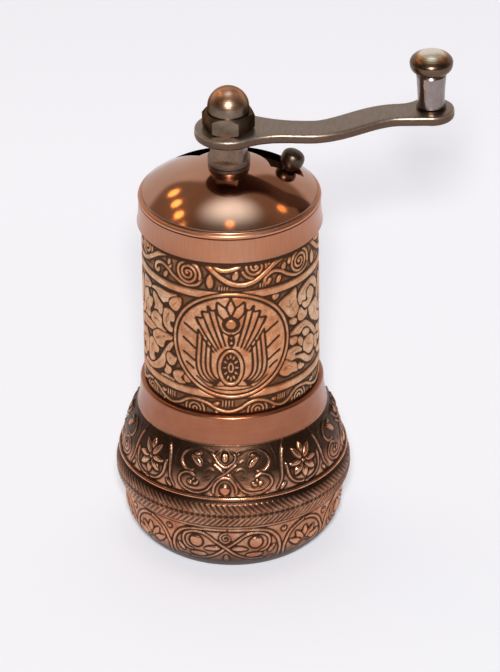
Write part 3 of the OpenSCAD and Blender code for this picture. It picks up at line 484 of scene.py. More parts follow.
# Leaves of the plume between two medallions, one half of it
PLUME_LEAVES = (
    (0,66.8, 1.1,64.4, 1.4,61.8, 0.8,59.2, 0,57.8, -0.8,59.2, -1.4,61.8, -1.1,64.4),
    (0.5,57.6, 1.6,59.2, 2.1,61.8, 2,64.4, 3,65.8, 3.9,63.6, 3.4,60.8, 2.2,58.4),
    (0.8,56.9, 2.6,57.7, 4.2,59.4, 4.6,61.6, 4.6,63.6, 5.3,60.4, 4.8,57.9, 2.8,56.4),
    (0.8,55.8, 2.6,55.6, 4.6,56.6, 5.8,58.2, 5.6,55.4, 3.8,54.2, 2,54.5),
    (0.4,54.9, 1.6,53.6, 3.4,52.9, 5.4,53.4, 5,51.9, 3.2,51.2, 1.4,52),
    (0.3,53.2, 1.2,50.9, 2.8,49.4, 4.6,49.6, 5.2,50.8, 4.4,50.8, 3,50.5, 1.6,51.3),
    (0.3,49.6, 1.4,48.2, 3.2,47.4, 5.2,47.6, 4.4,46.3, 2.4,45.9, 0.8,46.8),
)
# Veins along the larger leaves
LEFT_VEINS = (
    (-20.6,66, -18.1,66.2, -15.2,66.3),
    (-20.7,58.2, -19.2,58.7, -18.2,58.5),
    (-20.1,53.5, -18.6,54.5, -16.6,55.5),
    (-24.9,59.8, -23.7,61.5, -22.7,62.3),
    (-16.1,59.2, -15.7,60.8, -14.9,62),
    (-22.6,48, -22.2,50.2, -21.2,51.7),
)
RIGHT_VEINS = (
    (12.9,64, 13.8,63.5, 14.6,63.7, 15.8,64.7),
    (16.1,56.5, 18.1,57, 20.1,56.7, 21.8,55.3),
    (13.9,51.5, 15.6,52, 16.9,51.7),
    (12.3,48, 13.4,48.8, 14.8,48),
    (17.8,64.7, 19.1,65.8, 21.1,66.5, 23.1,66.2),
)


def points_in(row):
    """Points from a row of coordinates."""
    return np.reshape(row, (-1, 2))


def foliage(relief, u):
    """Panel of leaves and scrolls between two medallions, centred on u."""
    side = BODY_GIRTH / 4
    panels = [(pen, PLUME_LEAVES, ()) for pen in pair(relief, u)]
    panels.append((Pen(relief, u - side), RIGHT_LEAVES, RIGHT_VEINS))
    panels.append((Pen(relief, u + side), LEFT_LEAVES, LEFT_VEINS))
    for pen, leaves, veins in panels:
        for outline in map(points_in, leaves):
            pen.patch(outline)
            if np.ptp(outline, axis=0).max() > RIBBED:
                pen.groove(midrib(outline), 0.1, 0.4)
        for points in map(points_in, veins):
            pen.groove(points, 0.1, 0.5)


def shoulder(relief, u):
    """One quarter of the cup's shoulder: interlaced loops round a heart, and a framed palmette."""
    for pen in pair(relief, u):
        pen.curve([(-1.3, 31.3), (-2.5, 30.3), (-1.8, 28.9), (0, 28.0), (1.6, 28.9), (2.9, 30.4),
                   (4.8, 31.4), (7.3, 31.5), (9.8, 30.4), (10.6, 28.7), (9.5, 27.0), (7.5, 26.8)], 0.36, 0.3)
        pen.curve([(-2.6, 28.6), (-1.2, 27.6), (0, 26.7), (1.6, 25.7), (2.9, 24.2), (4.2, 22.7), (6.4, 21.9),
                   (9.0, 22.3), (10.6, 23.8), (10.3, 25.5), (8.6, 26.3), (7.0, 25.6)], 0.36, 0.3)
        pen.leaf((5.6, 27.9), (8.4, 30.0), 0.75, 0.2)
        pen.bud((5.9, 30.3), (7.8, 30.4), 0.4)
        pen.fan((7.3, 23.6), (90, 35, 145), 0.15, 1.7, 0.5, vein=False, rise=0.7)
        pen.curve([(2.6, 27.2), (3.8, 27.6), (4.9, 27.0), (4.6, 26.2)], 0.24, 0.16)
        pen.curve([(3.5, 28.9), (4.4, 29.3), (5.0, 28.7)], 0.22, 0.16)
        pen.curve([(3.6, 25.6), (4.6, 25.2), (5.4, 25.7)], 0.22, 0.16)
        # Divider and the palmette's frame
        pen.curve([(15.2, 32.2), (14.0, 29.6), (13.4, 26.6), (13.0, 24.2), (11.8, 22.2)], 0.36, 0.3)
        pen.curve([(11.4, 32.0), (12.2, 30.0), (12.3, 28.0)], 0.22, 0.16)
        pen.curve([(14.6, 27.2), (15.0, 24.4), (16.6, 22.6), (EIGHTH, 21.9)], 0.36, 0.36)
        pen.bud((12.6, 21.8), (14.2, 23.6), 0.5, rise=0.7)
    whole = Pen(relief, u)
    whole.line(arc((0, 22.6), 2.6, 3.1, -8, 188), 0.34)
    whole.oval((0, 22.9), 1.25, 1.45, moat=0.2)
    whole.leaf((0, 29.2), (0, 31.6), 0.85)
    flower = Pen(relief, u + EIGHTH)
    heart = (0, 26.7)
    flower.fan(heart, (-90, -138, -42), 0.7, 3.9, 0.85)
    flower.fan(heart, (180, 0), 0.7, 4.0, 0.7)
    flower.fan(heart, (90, 52, 128), 0.7, 4.3, 0.75)
    flower.oval(heart, 0.6, 0.6, moat=0.15)


def bowl(relief, u):
    """One quarter of the cup's bowl: a cartouche with two discs, and a half-flower under an arch."""
    for pen in pair(relief, u):
        pen.curve([(12.4, 3.2), (12.6, 6.8), (11.6, 9.8), (9.2, 11.9), (5.4, 12.5), (0, 12.6)], 0.42)
        pen.curve([(-8.6, 3.9), (-5.4, 4.1), (-2.4, 5.5), (0, 7.6), (2.4, 9.4), (4.4, 11.0), (7.0, 11.6),
                   (9.4, 10.6), (10.0, 8.6), (9.2, 6.9), (7.8, 6.4)], 0.4, 0.34)
        pen.oval((6.8, 9.0), 1.75, 1.75, moat=0.4, edge=0.7)
        pen.leaf((1.4, 7.4), (5.2, 7.0), 0.7, 0.2)
        pen.leaf((4.6, 5.4), (8.8, 5.6), 0.8, -0.2)
        pen.bud((9.8, 5.6), (11.4, 8.0), 0.5)
        pen.bud((9.2, 3.2), (11.4, 4.4), 0.45)
        pen.curve([(13.9, 3.4), (13.7, 6.8), (15.2, 10.2), (17.6, 11.9), (EIGHTH, 12.2)], 0.42)
        pen.oval((13.4, 11.4), 0.75, 0.75, moat=0.2)
    whole = Pen(relief, u)
    whole.line(spiral((0, 10.2), 0.3, 1.45, 80, 1.7), 0.28, 0.24, moat=0.24)
    whole.leaf((0, 3.2), (0, 5.7), 0.7)
    flower = Pen(relief, u + EIGHTH)
    flower.fan((0, 5.4), (90, 58, 122, 28, 152), 0.9, 5.0, 0.85)
    flower.line(arc((0, 5.0), 1.6, 1.4, 0, 180), 0.28)
    flower.bud((0, 3.0), (-3.6, 3.6), 0.5)
    flower.bud((0, 3.0), (3.6, 3.6), 0.5)


def belt(relief):
    """Herringbone of slanted strokes either side of a thin line."""
    count = 128
    pitch = CUP_GIRTH / count
    for k in range(count):
        for outer, inner in ((19.75, 17.55), (14.25, 16.45)):
            Pen(relief, k * pitch).line([(0, outer), (2.0, inner)], 0.3, rise=0.9, moat=0.1, edge=0.3)
    relief.band(16.9, 17.1, 0.8, 0.1)
    relief.band(20.05, 20.3, 0.7)
    relief.band(13.75, 14.0, 0.7)


def body_relief():
    """The milling body's ornament, which sinks under the lid's band and above the cup's collar, leaving
    painted shade there.
    """
    relief = Relief(BODY_GIRTH, CUP_H - 0.2, RIM_Z + 0.2)
    upper_frieze(relief)
    lower_frieze(relief)
    for k in range(2):
        foliage(relief, (k + 0.5) * BODY_GIRTH / 2)
    relief.fill(3.2, (CUP_H, 0.28), (RIM_Z, 0.28))
    relief.band(43.1, 45.0)
    relief.band(67.9, 69.8)
    for k in range(2):
        medallion(relief, k * BODY_GIRTH / 2)
    # Fading the relief near the lid's band and the collar also darkens the copper there: painted shade along
    # their edges
    relief.finish(ease((RIM_Z - 1.3 - relief.v) / 0.5) * ease((relief.v - CUP_H - 0.2) / 0.5))
    return relief


def cup_relief():
    """The cup's ornament, low towards the foot and under the collar, leaving painted shade there."""
    relief = Relief(CUP_GIRTH, 0.0, 33.0)
    for k in range(4):
        bowl(relief, CUP_START + k * CUP_GIRTH / 4)
        shoulder(relief, CUP_START + k * CUP_GIRTH / 4)
    # Less ground is raised up the shoulder, which stays darker: a painted dark reflection of the room on the
    # upturned shoulder
    relief.fill(3.0, (0, 0.6), (23.0, 0.6), (27.0, 0.16), (33.0, 0.06))
    belt(relief)
    relief.band(12.95, 13.5, 0.8)
    relief.band(20.6, 21.5, 0.8)
    # Fading the relief at the foot and under the collar also darkens the copper: painted shade there
    relief.finish(ease((relief.v - 1.8) / 6.5) * (0.25 + 0.75 * ease((31.3 - relief.v) / 0.7)))
    return relief


def in_scene(name, data):
    """A new object, linked to the scene."""
    obj = bpy.data.objects.new(name, data)
    bpy.context.scene.collection.objects.link(obj)
    return obj


class Turning:
    """A turned solid, gathered ring by ring, with the look of the faces above each ring."""

    def __init__(self, count):
        self.columns = np.linspace(-math.pi, math.pi, count, endpoint=False)
        self.rings, self.smooth, self.skins, self.wear_and_shade = [], [], [], []

    def add(self, radii, heights, is_smooth, skin, wear_and_shade):
        flat = np.zeros(len(self.columns))
        self.rings.append((radii + flat, heights + flat))
        self.smooth.append(is_smooth)
        self.skins.append(skin)
        self.wear_and_shade.append(wear_and_shade + flat)

    def build(self, name, closed):
        """The mesh; without closed, it ends at two points on the axis."""
        count = len(self.columns)
        sines, cosines = np.sin(self.columns), np.cos(self.columns)
        points = np.concatenate([np.column_stack([r * sines, -r * cosines, z]) for r, z in self.rings])
        wear_and_shade = np.concatenate(self.wear_and_shade)
        faces, is_smooth, skins = [], [], []
        for i in range(len(self.rings) if closed else len(self.rings) - 1):
            j = (i + 1) % len(self.rings)
            for k in range(count):
                n = (k + 1) % count
                faces.append((i * count + k, i * count + n, j * count + n, j * count + k))
            is_smooth += [self.smooth[i]] * count
            skins += [self.skins[i]] * count
        if not closed:
            points = np.vstack([points, [(0, 0, self.rings[end][1].mean()) for end in (0, -1)]])
            wear_and_shade = np.append(wear_and_shade, [0.3, 0.3])
            top = (len(self.rings) - 1) * count
            for k in range(count):
                n = (k + 1) % count
                faces.append((len(points) - 2, n, k))
                faces.append((len(points) - 1, top + k, top + n))
            is_smooth += [False] * (2 * count)
            skins += [self.skins[0], self.skins[-1]] * count
        mesh = bpy.data.meshes.new(name)
        mesh.from_pydata((points * MM).tolist(), [], faces)
        mesh.polygons.foreach_set("use_smooth", is_smooth)
        mesh.polygons.foreach_set("material_index", skins)
        mesh.attributes.new("wear_and_shade", "FLOAT", "POINT").data.foreach_set("value", wear_and_shade.astype(np.float32))
        mesh.update()
        return in_scene(name, mesh)


def wear_of(relief):
    """How far the copper is rubbed bright: high on ridges, low in the hollows."""
    cavity = relief.h - blur(relief.h, 6)
    return np.clip(0.12 + 0.62 * relief.h + 0.9 * cavity, 0, 1)


def drum():
    """The milling body with its cast relief."""
    relief = body_relief()
    wear_and_shade = wear_of(relief)
    shape = Turning(BODY_COLUMNS)
    ground_r, spigot_r, throat_r = BODY_R - 0.45, BODY_R - 1.35, 10.4
    ledge_w, chamfer = 4.2, 0.4
    u = shape.columns * BODY_GIRTH_R
    rows = np.linspace(CUP_H, RIM_Z, BODY_ROWS)
    for z in rows:
        at = np.full(len(u), z)
        radii = ground_r + BODY_DEPTH * relief.sample(relief.h, u, at)
        shape.add(radii, z, z < rows[-1], CARVED, relief.sample(wear_and_shade, u, at))
    inside = [
        (HOPPER_R, RIM_Z), (HOPPER_R, LEDGE_Z), (HOPPER_R - ledge_w, LEDGE_Z),
        (throat_r, RING_TOP + 0.6), (throat_r, RING_TOP), (RING_R, RING_TOP), (RING_R, SPIGOT_Z),
        (spigot_r - chamfer, SPIGOT_Z), (spigot_r, SPIGOT_Z + chamfer), (spigot_r, CUP_H),
    ]
    for r, z in inside:
        shape.add(r, z, False, PLAIN, 0.5)
    return shape.build("body_casting", True)


def bend(a, b, c, n=24):
    """Points along a quadratic curve."""
    t = np.linspace(0, 1, n)[:, None]
    return (1 - t) ** 2 * np.array(a) + 2 * t * (1 - t) * np.array(b) + t * t * np.array(c)


def even(points, step):
    """The same line with evenly spaced points."""
    run = np.concatenate([[0], np.cumsum(np.hypot(*np.diff(points, axis=0).T))])
    at = np.linspace(0, run[-1], int(run[-1] / step) + 1)
    return np.column_stack([np.interp(at, run, points[:, 0]), np.interp(at, run, points[:, 1])])


def cup():
    """The receiving cup with its cast relief."""
    relief = cup_relief()
    # Wear is cut down by height: painted shade at the belt's top under the bead, and a painted dark
    # reflection up the shoulder to the collar
    painted_shade_by_height = ((12, 1.0), (14, 0.9), (18.2, 0.88), (19.2, 0.5), (20.4, 0.4), (20.7, 0.85), (22, 1.0),
            (27, 0.74), (30.3, 0.6), (30.9, 0.1))
    wear_and_shade = wear_of(relief) * np.interp(relief.v, *zip(*painted_shade_by_height))
    shape = Turning(CUP_COLUMNS)
    u = shape.columns * CUP_GIRTH_R
    foot_r, belt_r, bowl_r = 18.7, CUP_R - 0.8, CUP_R - 1.5
    collar_r, collar_z, lip_r = BODY_R + 0.75, CUP_H - 6.9, 0.75
    neck_r, belly_r = BODY_R - 1.3, bowl_r - 2.2
    # The profile from the foot up: bowl, belt, bead and shoulder
    carved = even(np.vstack([
        bend((foot_r, 0), (bowl_r - 0.8, 2.76), (bowl_r - 0.4, 8.97)),
        [(bowl_r, 13.45)],
        bend((belt_r, 13.8), (CUP_R + 0.8, 17.0), (belt_r, 20.2)),
        [(bowl_r + 0.2, 20.5)],
        arc((bowl_r + 0.2, 21.05), 0.55, 0.55, -80, 80, 10),
        bend((bowl_r + 0.1, 21.8), (bowl_r - 0.3, 26.95), (collar_r + 1.0, collar_z)),
    ]), CARVED_STEP)
    # The collar and its rounded lip
    plain = even(np.vstack([
        bend((collar_r + 0.7, collar_z + 0.3), (collar_r, CUP_H - 3.45), (collar_r, CUP_H - 0.9)),
        arc((collar_r - lip_r, CUP_H - lip_r), lip_r, lip_r, 0, 90, 12),
    ]), PLAIN_STEP)
    inside = np.vstack([
        [(neck_r, CUP_H)],
        bend((neck_r, SPIGOT_Z - 1), (belly_r, SPIGOT_Z - 3), (belly_r, 19.2), 10),
        bend((belly_r, 12.42), (belly_r - 0.4, 3.2), (foot_r - 2, 2.2), 10),
    ])
    slope = np.gradient(carved, axis=0)
    normal = np.column_stack([slope[:, 1], -slope[:, 0]]) / np.hypot(*slope.T)[:, None]
    shape.add(foot_r - 1.2, 0.0, False, CARVED, 0.3)
    for (r, z), n in zip(carved, normal):
        at = np.full(len(u), z)
        # The ground lies a little below the profile, and the relief dies out at the foot
        lift = CUP_DEPTH * (relief.sample(relief.h, u, at) - 0.35) * ease(z / 2.0)
        shape.add(r + lift * n[0], np.maximum(0, z + lift * n[1]), True, CARVED, relief.sample(wear_and_shade, u, at))
    shape.smooth[-1] = False
    for r, z in plain:
        shape.add(r, z, True, PLAIN, 0.72)
    shape.smooth[-1] = False
    for r, z in inside:
        shape.add(r, z, True, PLAIN, 0.5)
    shape.smooth[-1] = shape.smooth[-len(inside)] = False
    return shape.build("cup_casting", False)


class Nodes:
    """A node tree that is put together step by step."""

    def __init__(self, tree):
        self.tree = tree

    def put(self, socket, value):
        """Links an output to a socket, or sets a number, a vector or a colour on it."""
        if isinstance(value, bpy.types.NodeSocket):
            self.tree.links.new(value, socket)
        else:
            socket.default_value = (*value, 1) if socket.type == "RGBA" else value

    def node(self, kind, **inputs):
        """A new node with some of its inputs linked or set."""
        node = self.tree.nodes.new("ShaderNode" + kind)
        for socket, value in inputs.items():
            self.put(node.inputs[socket.replace("_", " ")], value)
        return node

    def math(self, kind, *values):
        node = self.node("Math")
        node.operation = kind
        for socket, value in zip(node.inputs, values):
            self.put(socket, value)
        return node.outputs["Value"]

    def axis(self, source, name):
        """One coordinate of a vector."""
        return self.node("SeparateXYZ", Vector=source).outputs[name]

    def length(self, source, scale, shift):
        """Length of a vector that is first scaled and then shifted."""
        moved = self.node("Mapping", Vector=source, Scale=scale, Location=shift)
        node = self.node("VectorMath")
        node.operation = "LENGTH"
        self.put(node.inputs[0], moved.outputs["Vector"])
        return node.outputs["Value"]

    def mix(self, factor, a, b, kind="MIX"):
        node = self.node("Mix")
        node.data_type = "RGBA"
        node.blend_type = kind
        for socket, value in zip([s for s in node.inputs if s.enabled], (factor, a, b)):
            self.put(socket, value)
        return [s for s in node.outputs if s.enabled][0]


class Shader(Nodes):
    """A material whose textures lie in the object's own coordinates."""

    def __init__(self, name, **values):
        self.material = bpy.data.materials.new(name)
        self.material.use_nodes = True
        super().__init__(self.material.node_tree)
        self.surface = self.tree.nodes["Principled BSDF"]
        self.use(**values)
        self.place = self.node("TexCoord").outputs["Object"]

    def use(self, **values):
        """Links or sets inputs of the surface."""
        for socket, value in values.items():
            self.put(self.surface.inputs[socket.replace("_", " ")], value)

    def along(self, axis, start, span):
        """How far along an axis a place lies, from 0 at the start to 1 after the span, in metres."""
        return self.math("MULTIPLY", self.math("SUBTRACT", self.axis(self.place, axis), start), 1 / span)

    def noise(self, scale, detail=3.0, stretch=(1, 1, 1), roughness=0.55):
        place = self.node("Mapping", Vector=self.place, Scale=stretch).outputs["Vector"]
        node = self.node("TexNoise", Vector=place, Scale=scale, Detail=detail, Roughness=roughness)
        return node.outputs["Fac"]

    def ramp(self, source, *stops):
        node = self.node("ValToRGB", Fac=source)
        band = node.color_ramp
        while len(band.elements) < len(stops):
            band.elements.new(0.5)
        for element, (at, colour) in zip(band.elements, stops):
            element.position = at
            element.color = (*colour, 1) if isinstance(colour, tuple) else (colour, colour, colour, 1)
        return node.outputs["Color"]

    def stir(self, source, noise, spread):
        """A value that a noise moves up and down."""
        return self.math("ADD", source, self.math("MULTIPLY", self.math("SUBTRACT", noise, 0.5), spread))

    def bump(self, height, strength, distance):
        node = self.node("Bump", Height=height, Strength=strength, Distance=distance)
        self.use(Normal=node.outputs["Normal"])


def cast_copper(name, bright, pale, dark, hollow, rough, painted_limb_sheen):
    """Cast copper: dark patina in the hollows, rubbed metal on the ridges, a painted pale sheen at left and
    right.
    """
    s = Shader(name, Metallic=1.0, Specular_Tint=(0.95, 0.92, 0.9))
    # The wear attribute holds the rubbing and patina of the relief, and also painted shade where it is cut
    # down
    wear_and_shade = s.node("Attribute")
    wear_and_shade.attribute_name = "wear_and_shade"
    rubbed = s.stir(wear_and_shade.outputs["Fac"], s.noise(180, 4.0), 0.3)
    speck = s.noise(2600, 2.0)
    clear = s.ramp(speck, (0.3, bright), (0.75, pale))
    dull = s.ramp(speck, (0.3, dark), (0.8, bright))
    metal = s.mix(s.ramp(s.noise(330), (0.36, 0.0), (0.62, 1.0)), clear, dull)
    flush = s.ramp(s.noise(75, 2.0), (0.42, WHITE), (0.62, (1.0, 0.84, 0.72)))
    metal = s.mix(1.0, metal, flush, "MULTIPLY")
    # Towards the left and right the copper is paled and cooled: a painted sheen, standing in for the
    # reflection at the limbs
    limb_reach = s.math("MULTIPLY", s.math("ABSOLUTE", s.axis(s.place, "X")), 1 / (BODY_R * MM))
    metal = s.mix(1.0, metal, s.ramp(limb_reach, (0.55, WHITE), (0.8, painted_limb_sheen)), "MULTIPLY")
    skin = s.ramp(speck, (0.25, hollow), (0.8, tuple(1.7 * c for c in hollow)))
    s.use(Base_Color=s.mix(s.ramp(rubbed, (0.16, 0.0), (0.66, 1.0)), skin, metal))
    s.use(Roughness=s.stir(s.ramp(rubbed, (0.1, rough + 0.2), (0.7, rough)), speck, 0.12))
    s.bump(s.math("ADD", s.noise(3200), s.math("MULTIPLY", s.noise(900, 2.0), 1.5)), 0.16, 0.0001)
    return s.material


def plain_copper():
    """Smooth plated copper of collar, spigot and insides: satin, with faint marks that run round."""
    s = Shader("plain_copper", Metallic=1.0, Coat_Weight=0.25, Coat_Roughness=0.12)
    turning = s.noise(1.0, 3.0, (60, 60, 5200))
    patch = s.noise(160, 4.0)
    dull = s.ramp(turning, (0.2, (0.315, 0.103, 0.048)), (0.8, (0.375, 0.134, 0.067)))
    clear = s.ramp(turning, (0.2, (0.365, 0.131, 0.066)), (0.8, (0.44, 0.174, 0.096)))
    s.use(Base_Color=s.mix(s.ramp(patch, (0.3, 0.0), (0.75, 1.0)), dull, clear))
    s.use(Roughness=s.ramp(patch, (0.25, 0.38), (0.8, 0.27)))
    s.bump(turning, 0.05, 0.00004)
    return s.material


def polished_copper():
    """Lacquered copper: brushed upright on the band, mirror-like with fine rubbing on the dome, a painted
    highlight on the bead.
    """
    s = Shader("polished_copper", Metallic=1.0, Coat_Weight=0.5, Coat_Roughness=0.12)
    # The millimetres in which the band, the bead and the dome meet
    level = s.along("Z", (RIM_Z + 4.6) * MM, 4 * MM)
    dome = s.ramp(level, (0.55, 0.0), (0.6, 1.0))
    # Darker lines in the cove above the bead and just under it, and a painted highlight along the bead
    # itself
    bead_lines_and_highlight = s.ramp(level, (0.18, 1.0), (0.21, 0.6), (0.26, 1.3), (0.52, 1.3), (0.59, 0.3), (0.65, 0.35),
                   (0.70, 1.0))
    brush = s.noise(1.0, 3.0, (1900, 1900, 60))
    flush = s.ramp(s.noise(70, 2.0), (0.42, WHITE), (0.62, (1.0, 0.88, 0.78)))
    streak = s.ramp(brush, (0.2, (0.435, 0.184, 0.097)), (0.85, (0.505, 0.237, 0.139)))
    gloss = s.ramp(s.noise(130, 4.0), (0.3, (0.44, 0.20, 0.118)), (0.75, (0.52, 0.25, 0.158)))
    tone = s.mix(dome, s.mix(1.0, streak, flush, "MULTIPLY"), gloss)
    s.use(Base_Color=s.mix(1.0, tone, bead_lines_and_highlight, "MULTIPLY"))
    rough_band = s.ramp(brush, (0.2, 0.32), (0.85, 0.42))
    rough_dome = s.ramp(s.noise(700, 4.0), (0.3, 0.09), (0.8, 0.13))
    s.use(Roughness=s.mix(dome, rough_band, rough_dome))
    s.bump(s.mix(dome, brush, s.noise(400, 2.0)), 0.04, 0.00004)
    return s.material


def satin_metal(name, dull, bright, rough, grain=(1, 1, 1), scale=1500):
    """Worn bare metal: mottled colour, fine scratches, patches of dull skin."""
    s = Shader(name, Metallic=1.0)
    scratch = s.noise(scale, 4.0, grain)
    patch = s.noise(230, 5.0, roughness=0.65)
    mottle = s.ramp(patch, (0.32, dull), (0.72, bright))
    s.use(Base_Color=s.mix(0.35, mottle, s.ramp(scratch, (0.3, dull), (0.75, bright))))
    s.use(Roughness=s.stir(s.ramp(patch, (0.3, rough + 0.1), (0.75, rough)), scratch, 0.18))
    s.bump(scratch, 0.12, 0.00006)
    return s.material


def forged_bronze():
    """Bronzed crank arm coloured by which way its faces point: rubbed grey on top, a painted highlight along
    the rounded edge, painted shade down the upright faces.
    """
    s = Shader("forged_bronze", Metallic=1.0)
    scratch = s.noise(1500, 4.0, (1, 0.25, 1))
    patch = s.noise(230, 5.0, roughness=0.65)
    # Colour by facing: upright faces get painted shade, the rounded edge a painted highlight, faces turned
    # up their grey
    up = s.stir(s.axis(s.node("NewGeometry").outputs["Normal"], "Z"), patch, 0.3)
    tone = s.ramp(up, (0.1, (0.14, 0.088, 0.064)), (0.45, (0.58, 0.43, 0.32)), (0.85, (0.31, 0.243, 0.205)))
    s.use(Base_Color=s.mix(1.0, tone, s.ramp(scratch, (0.3, 0.85), (0.75, 1.1)), "MULTIPLY"))
    s.use(Roughness=s.stir(s.ramp(patch, (0.3, 0.44), (0.75, 0.34)), scratch, 0.12))
    s.bump(scratch, 0.03, 0.00003)
    return s.material


def rubbed_nut():
    """Dark bronze nut whose dome is rubbed to copper by hands."""
    # Glancing reflections are tinted dark brown: painted shade round the nut's outline
    s = Shader("nut_bronze", Metallic=1.0, Specular_Tint=(0.25, 0.2, 0.17))
    crown = s.along("Z", (halfway("cap_nut", 2) + 0.8) * MM, 1 / 330)
    patch = s.noise(260, 5.0)
    fine = s.noise(1500, 4.0)
    copper = s.ramp(patch, (0.3, (0.58, 0.30, 0.19)), (0.75, (0.72, 0.42, 0.28)))
    dark = s.ramp(patch, (0.3, (0.10, 0.07, 0.05)), (0.75, (0.24, 0.18, 0.135)))
    s.use(Base_Color=s.mix(s.ramp(s.stir(crown, patch, 0.6), (0.0, 0.0), (1.0, 1.0)), dark, copper))
    s.use(Roughness=s.ramp(fine, (0.3, 0.28), (0.75, 0.38)))
    s.bump(fine, 0.1, 0.00005)
    return s.material


def painted_glint_cap():
    """Knob cap: a painted highlight of pale silver in the middle, a gilt ring, and a painted dark reflection
    of bronze round the rim.
    """
    s = Shader("knob_silver", Metallic=1.0)
    x, y = (halfway("knob_cap", axis) for axis in range(2))
    radius = high("knob_cap", 0) - x
    out = s.length(s.place, (1, 1, 0), (-x * MM, -y * MM, 0))
    glint_reach = s.stir(s.math("MULTIPLY", out, 1 / (radius * MM)), s.noise(400, 4.0), 0.12)
    fine = s.noise(1500, 4.0)
    # Pale silver in the middle is a painted highlight, dark bronze round the rim a painted dark reflection
    s.use(Base_Color=s.ramp(glint_reach, (0.5, (0.90, 0.83, 0.74)), (0.6, (0.66, 0.43, 0.22)),
                            (0.72, (0.24, 0.145, 0.095)), (0.95, (0.14, 0.088, 0.060))))
    s.use(Roughness=s.ramp(fine, (0.3, 0.24), (0.75, 0.34)))
    s.bump(fine, 0.08, 0.00004)
    return s.material


# Materials of the nodes that are carried over or copied
for material, nodes in (
    (polished_copper(), ("lid", "shutter")),
    (satin_metal("knob_steel", (0.22, 0.175, 0.165), (0.36, 0.30, 0.285), 0.20, (1, 1, 0.15)),
     ("knob_sleeve",)),
    (painted_glint_cap(), ("knob_cap",)),
    (rubbed_nut(), ("cap_nut",)),
    (forged_bronze(), ("crank_arm", "bearing_bridge")),
    (satin_metal("brown_bronze", (0.13, 0.088, 0.062), (0.32, 0.225, 0.165), 0.26),
     ("drive_collar", "top_bush")),
    (satin_metal("dark_bronze", (0.06, 0.041, 0.030), (0.18, 0.125, 0.092), 0.28),
     ("knob_washer", "shutter_knob")),
    (satin_metal("steel", (0.36, 0.355, 0.35), (0.60, 0.59, 0.58), 0.28),
     ("shaft", "drive_pin", "burr_spring", "knob_pin", "shutter_clip", "burr_screws", "bridge_screws")),
    (satin_metal("burr_steel", (0.16, 0.16, 0.17), (0.36, 0.36, 0.37), 0.34, (1, 1, 0.3), 2400),
     ("outer_burr", "inner_burr")),
    (satin_metal("brass", (0.42, 0.28, 0.10), (0.72, 0.54, 0.24), 0.26), ("bridge_bush", "adjuster_nut")),
):
    for name in nodes:
        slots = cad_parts[name].data.materials
        slots.clear()
        slots.append(material)


def node_copy(name, node):
    """A new piece of a CAD node's shape that takes the node's place."""
    piece = in_scene(name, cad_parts[node].data.copy())
    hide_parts(node)
    return piece


# The lid and the shutter as spun: the nodes' shapes with their surfaces smooth up to the real edges
lid = node_copy("lid_spinning", "lid")
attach(lid, "mill")
shutter = node_copy("shutter_spinning", "shutter")
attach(shutter, "shutter")
for piece in (lid, shutter):
    joined = bmesh.new()
    joined.from_mesh(piece.data)
    bmesh.ops.remove_doubles(joined, verts=joined.verts, dist=0.001 * MM)
    for face in joined.faces:
        face.smooth = True
    joined.to_mesh(piece.data)
    joined.free()
    piece.data.attributes.remove(piece.data.attributes["custom_normal"])
    piece.data.set_sharp_from_angle(angle=math.radians(24))

# The crank arm as forged: the node's shape with well-rounded edges
arm = node_copy("arm_forging", "crank_arm")
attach(arm, "crank")
grid = arm.modifiers.new("grid", "REMESH")
grid.mode = "VOXEL"
grid.voxel_size = 0.16 * MM
grid.use_smooth_shade = True
rounding = arm.modifiers.new("rounding", "SMOOTH")
rounding.factor = 0.5
rounding.iterations = 60

# The spring: a copy of its node, with its place baked into its points
coil = node_copy("spring_coil", "burr_spring")
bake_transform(coil)

# Soft edges that catch the light on the hard-edged metal pieces
for name in ("cap_nut", "drive_collar"):
    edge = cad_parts[name].modifiers.new("edge", "BEVEL")
    edge.width = 0.12 * MM
    edge.segments = 4
    edge.limit_method = "ANGLE"
    edge.angle_limit = math.radians(40)
    edge.use_clamp_overlap = True

# The castings: patina and painted shade on what is carved, plain copper on the rest
collar_copper = plain_copper()
old_copper = cast_copper(
    "antique_copper_cup", bright=(0.65, 0.315, 0.190), pale=(0.83, 0.51, 0.345), dark=(0.46, 0.195, 0.11),
    hollow=(0.046, 0.023, 0.014), rough=0.22, painted_limb_sheen=WHITE)
# The body's copper gets a painted sheen, paler and cooler towards the left and right
warm_copper = cast_copper(
    "antique_copper_body", bright=(0.63, 0.295, 0.150), pale=(0.83, 0.52, 0.335), dark=(0.48, 0.190, 0.085),
    hollow=(0.058, 0.027, 0.015), rough=0.42, painted_limb_sheen=(1.08, 1.34, 1.48))
for piece, body, node, material in (
    (cup(), "cup", "base_cup", old_copper),
    (drum(), "mill", "upper_body", warm_copper),
):
    piece.data.materials.append(material)
    piece.data.materials.append(collar_copper)
    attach(piece, body)
    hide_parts(node)

# Floor of pale paper
REACH = 3.0
corners = [(x * REACH, y * REACH, 0) for x, y in ((-1, -1), (1, -1), (1, 1), (-1, 1))]
sheet = bpy.data.meshes.new("floor")
sheet.from_pydata(corners, [], [(0, 1, 2, 3)])
floor = in_scene("floor", sheet)
paper = Shader("floor_paper", Roughness=0.9, Specular_IOR_Level=0.1)
tone = paper.ramp(paper.noise(6, 2.0), (0.2, (0.945, 0.957, 0.98)), (0.8, (0.955, 0.967, 0.99)))
paper.use(Base_Color=tone)
# Seen directly or in metal, part of the paper's tone is its own, so that it is pale and keeps a soft shadow
ray = paper.node("LightPath").outputs
seen = paper.math("MAXIMUM", ray["Is Camera Ray"], ray["Is Glossy Ray"])
seen = paper.math("MAXIMUM", seen, ray["Is Transmission Ray"])
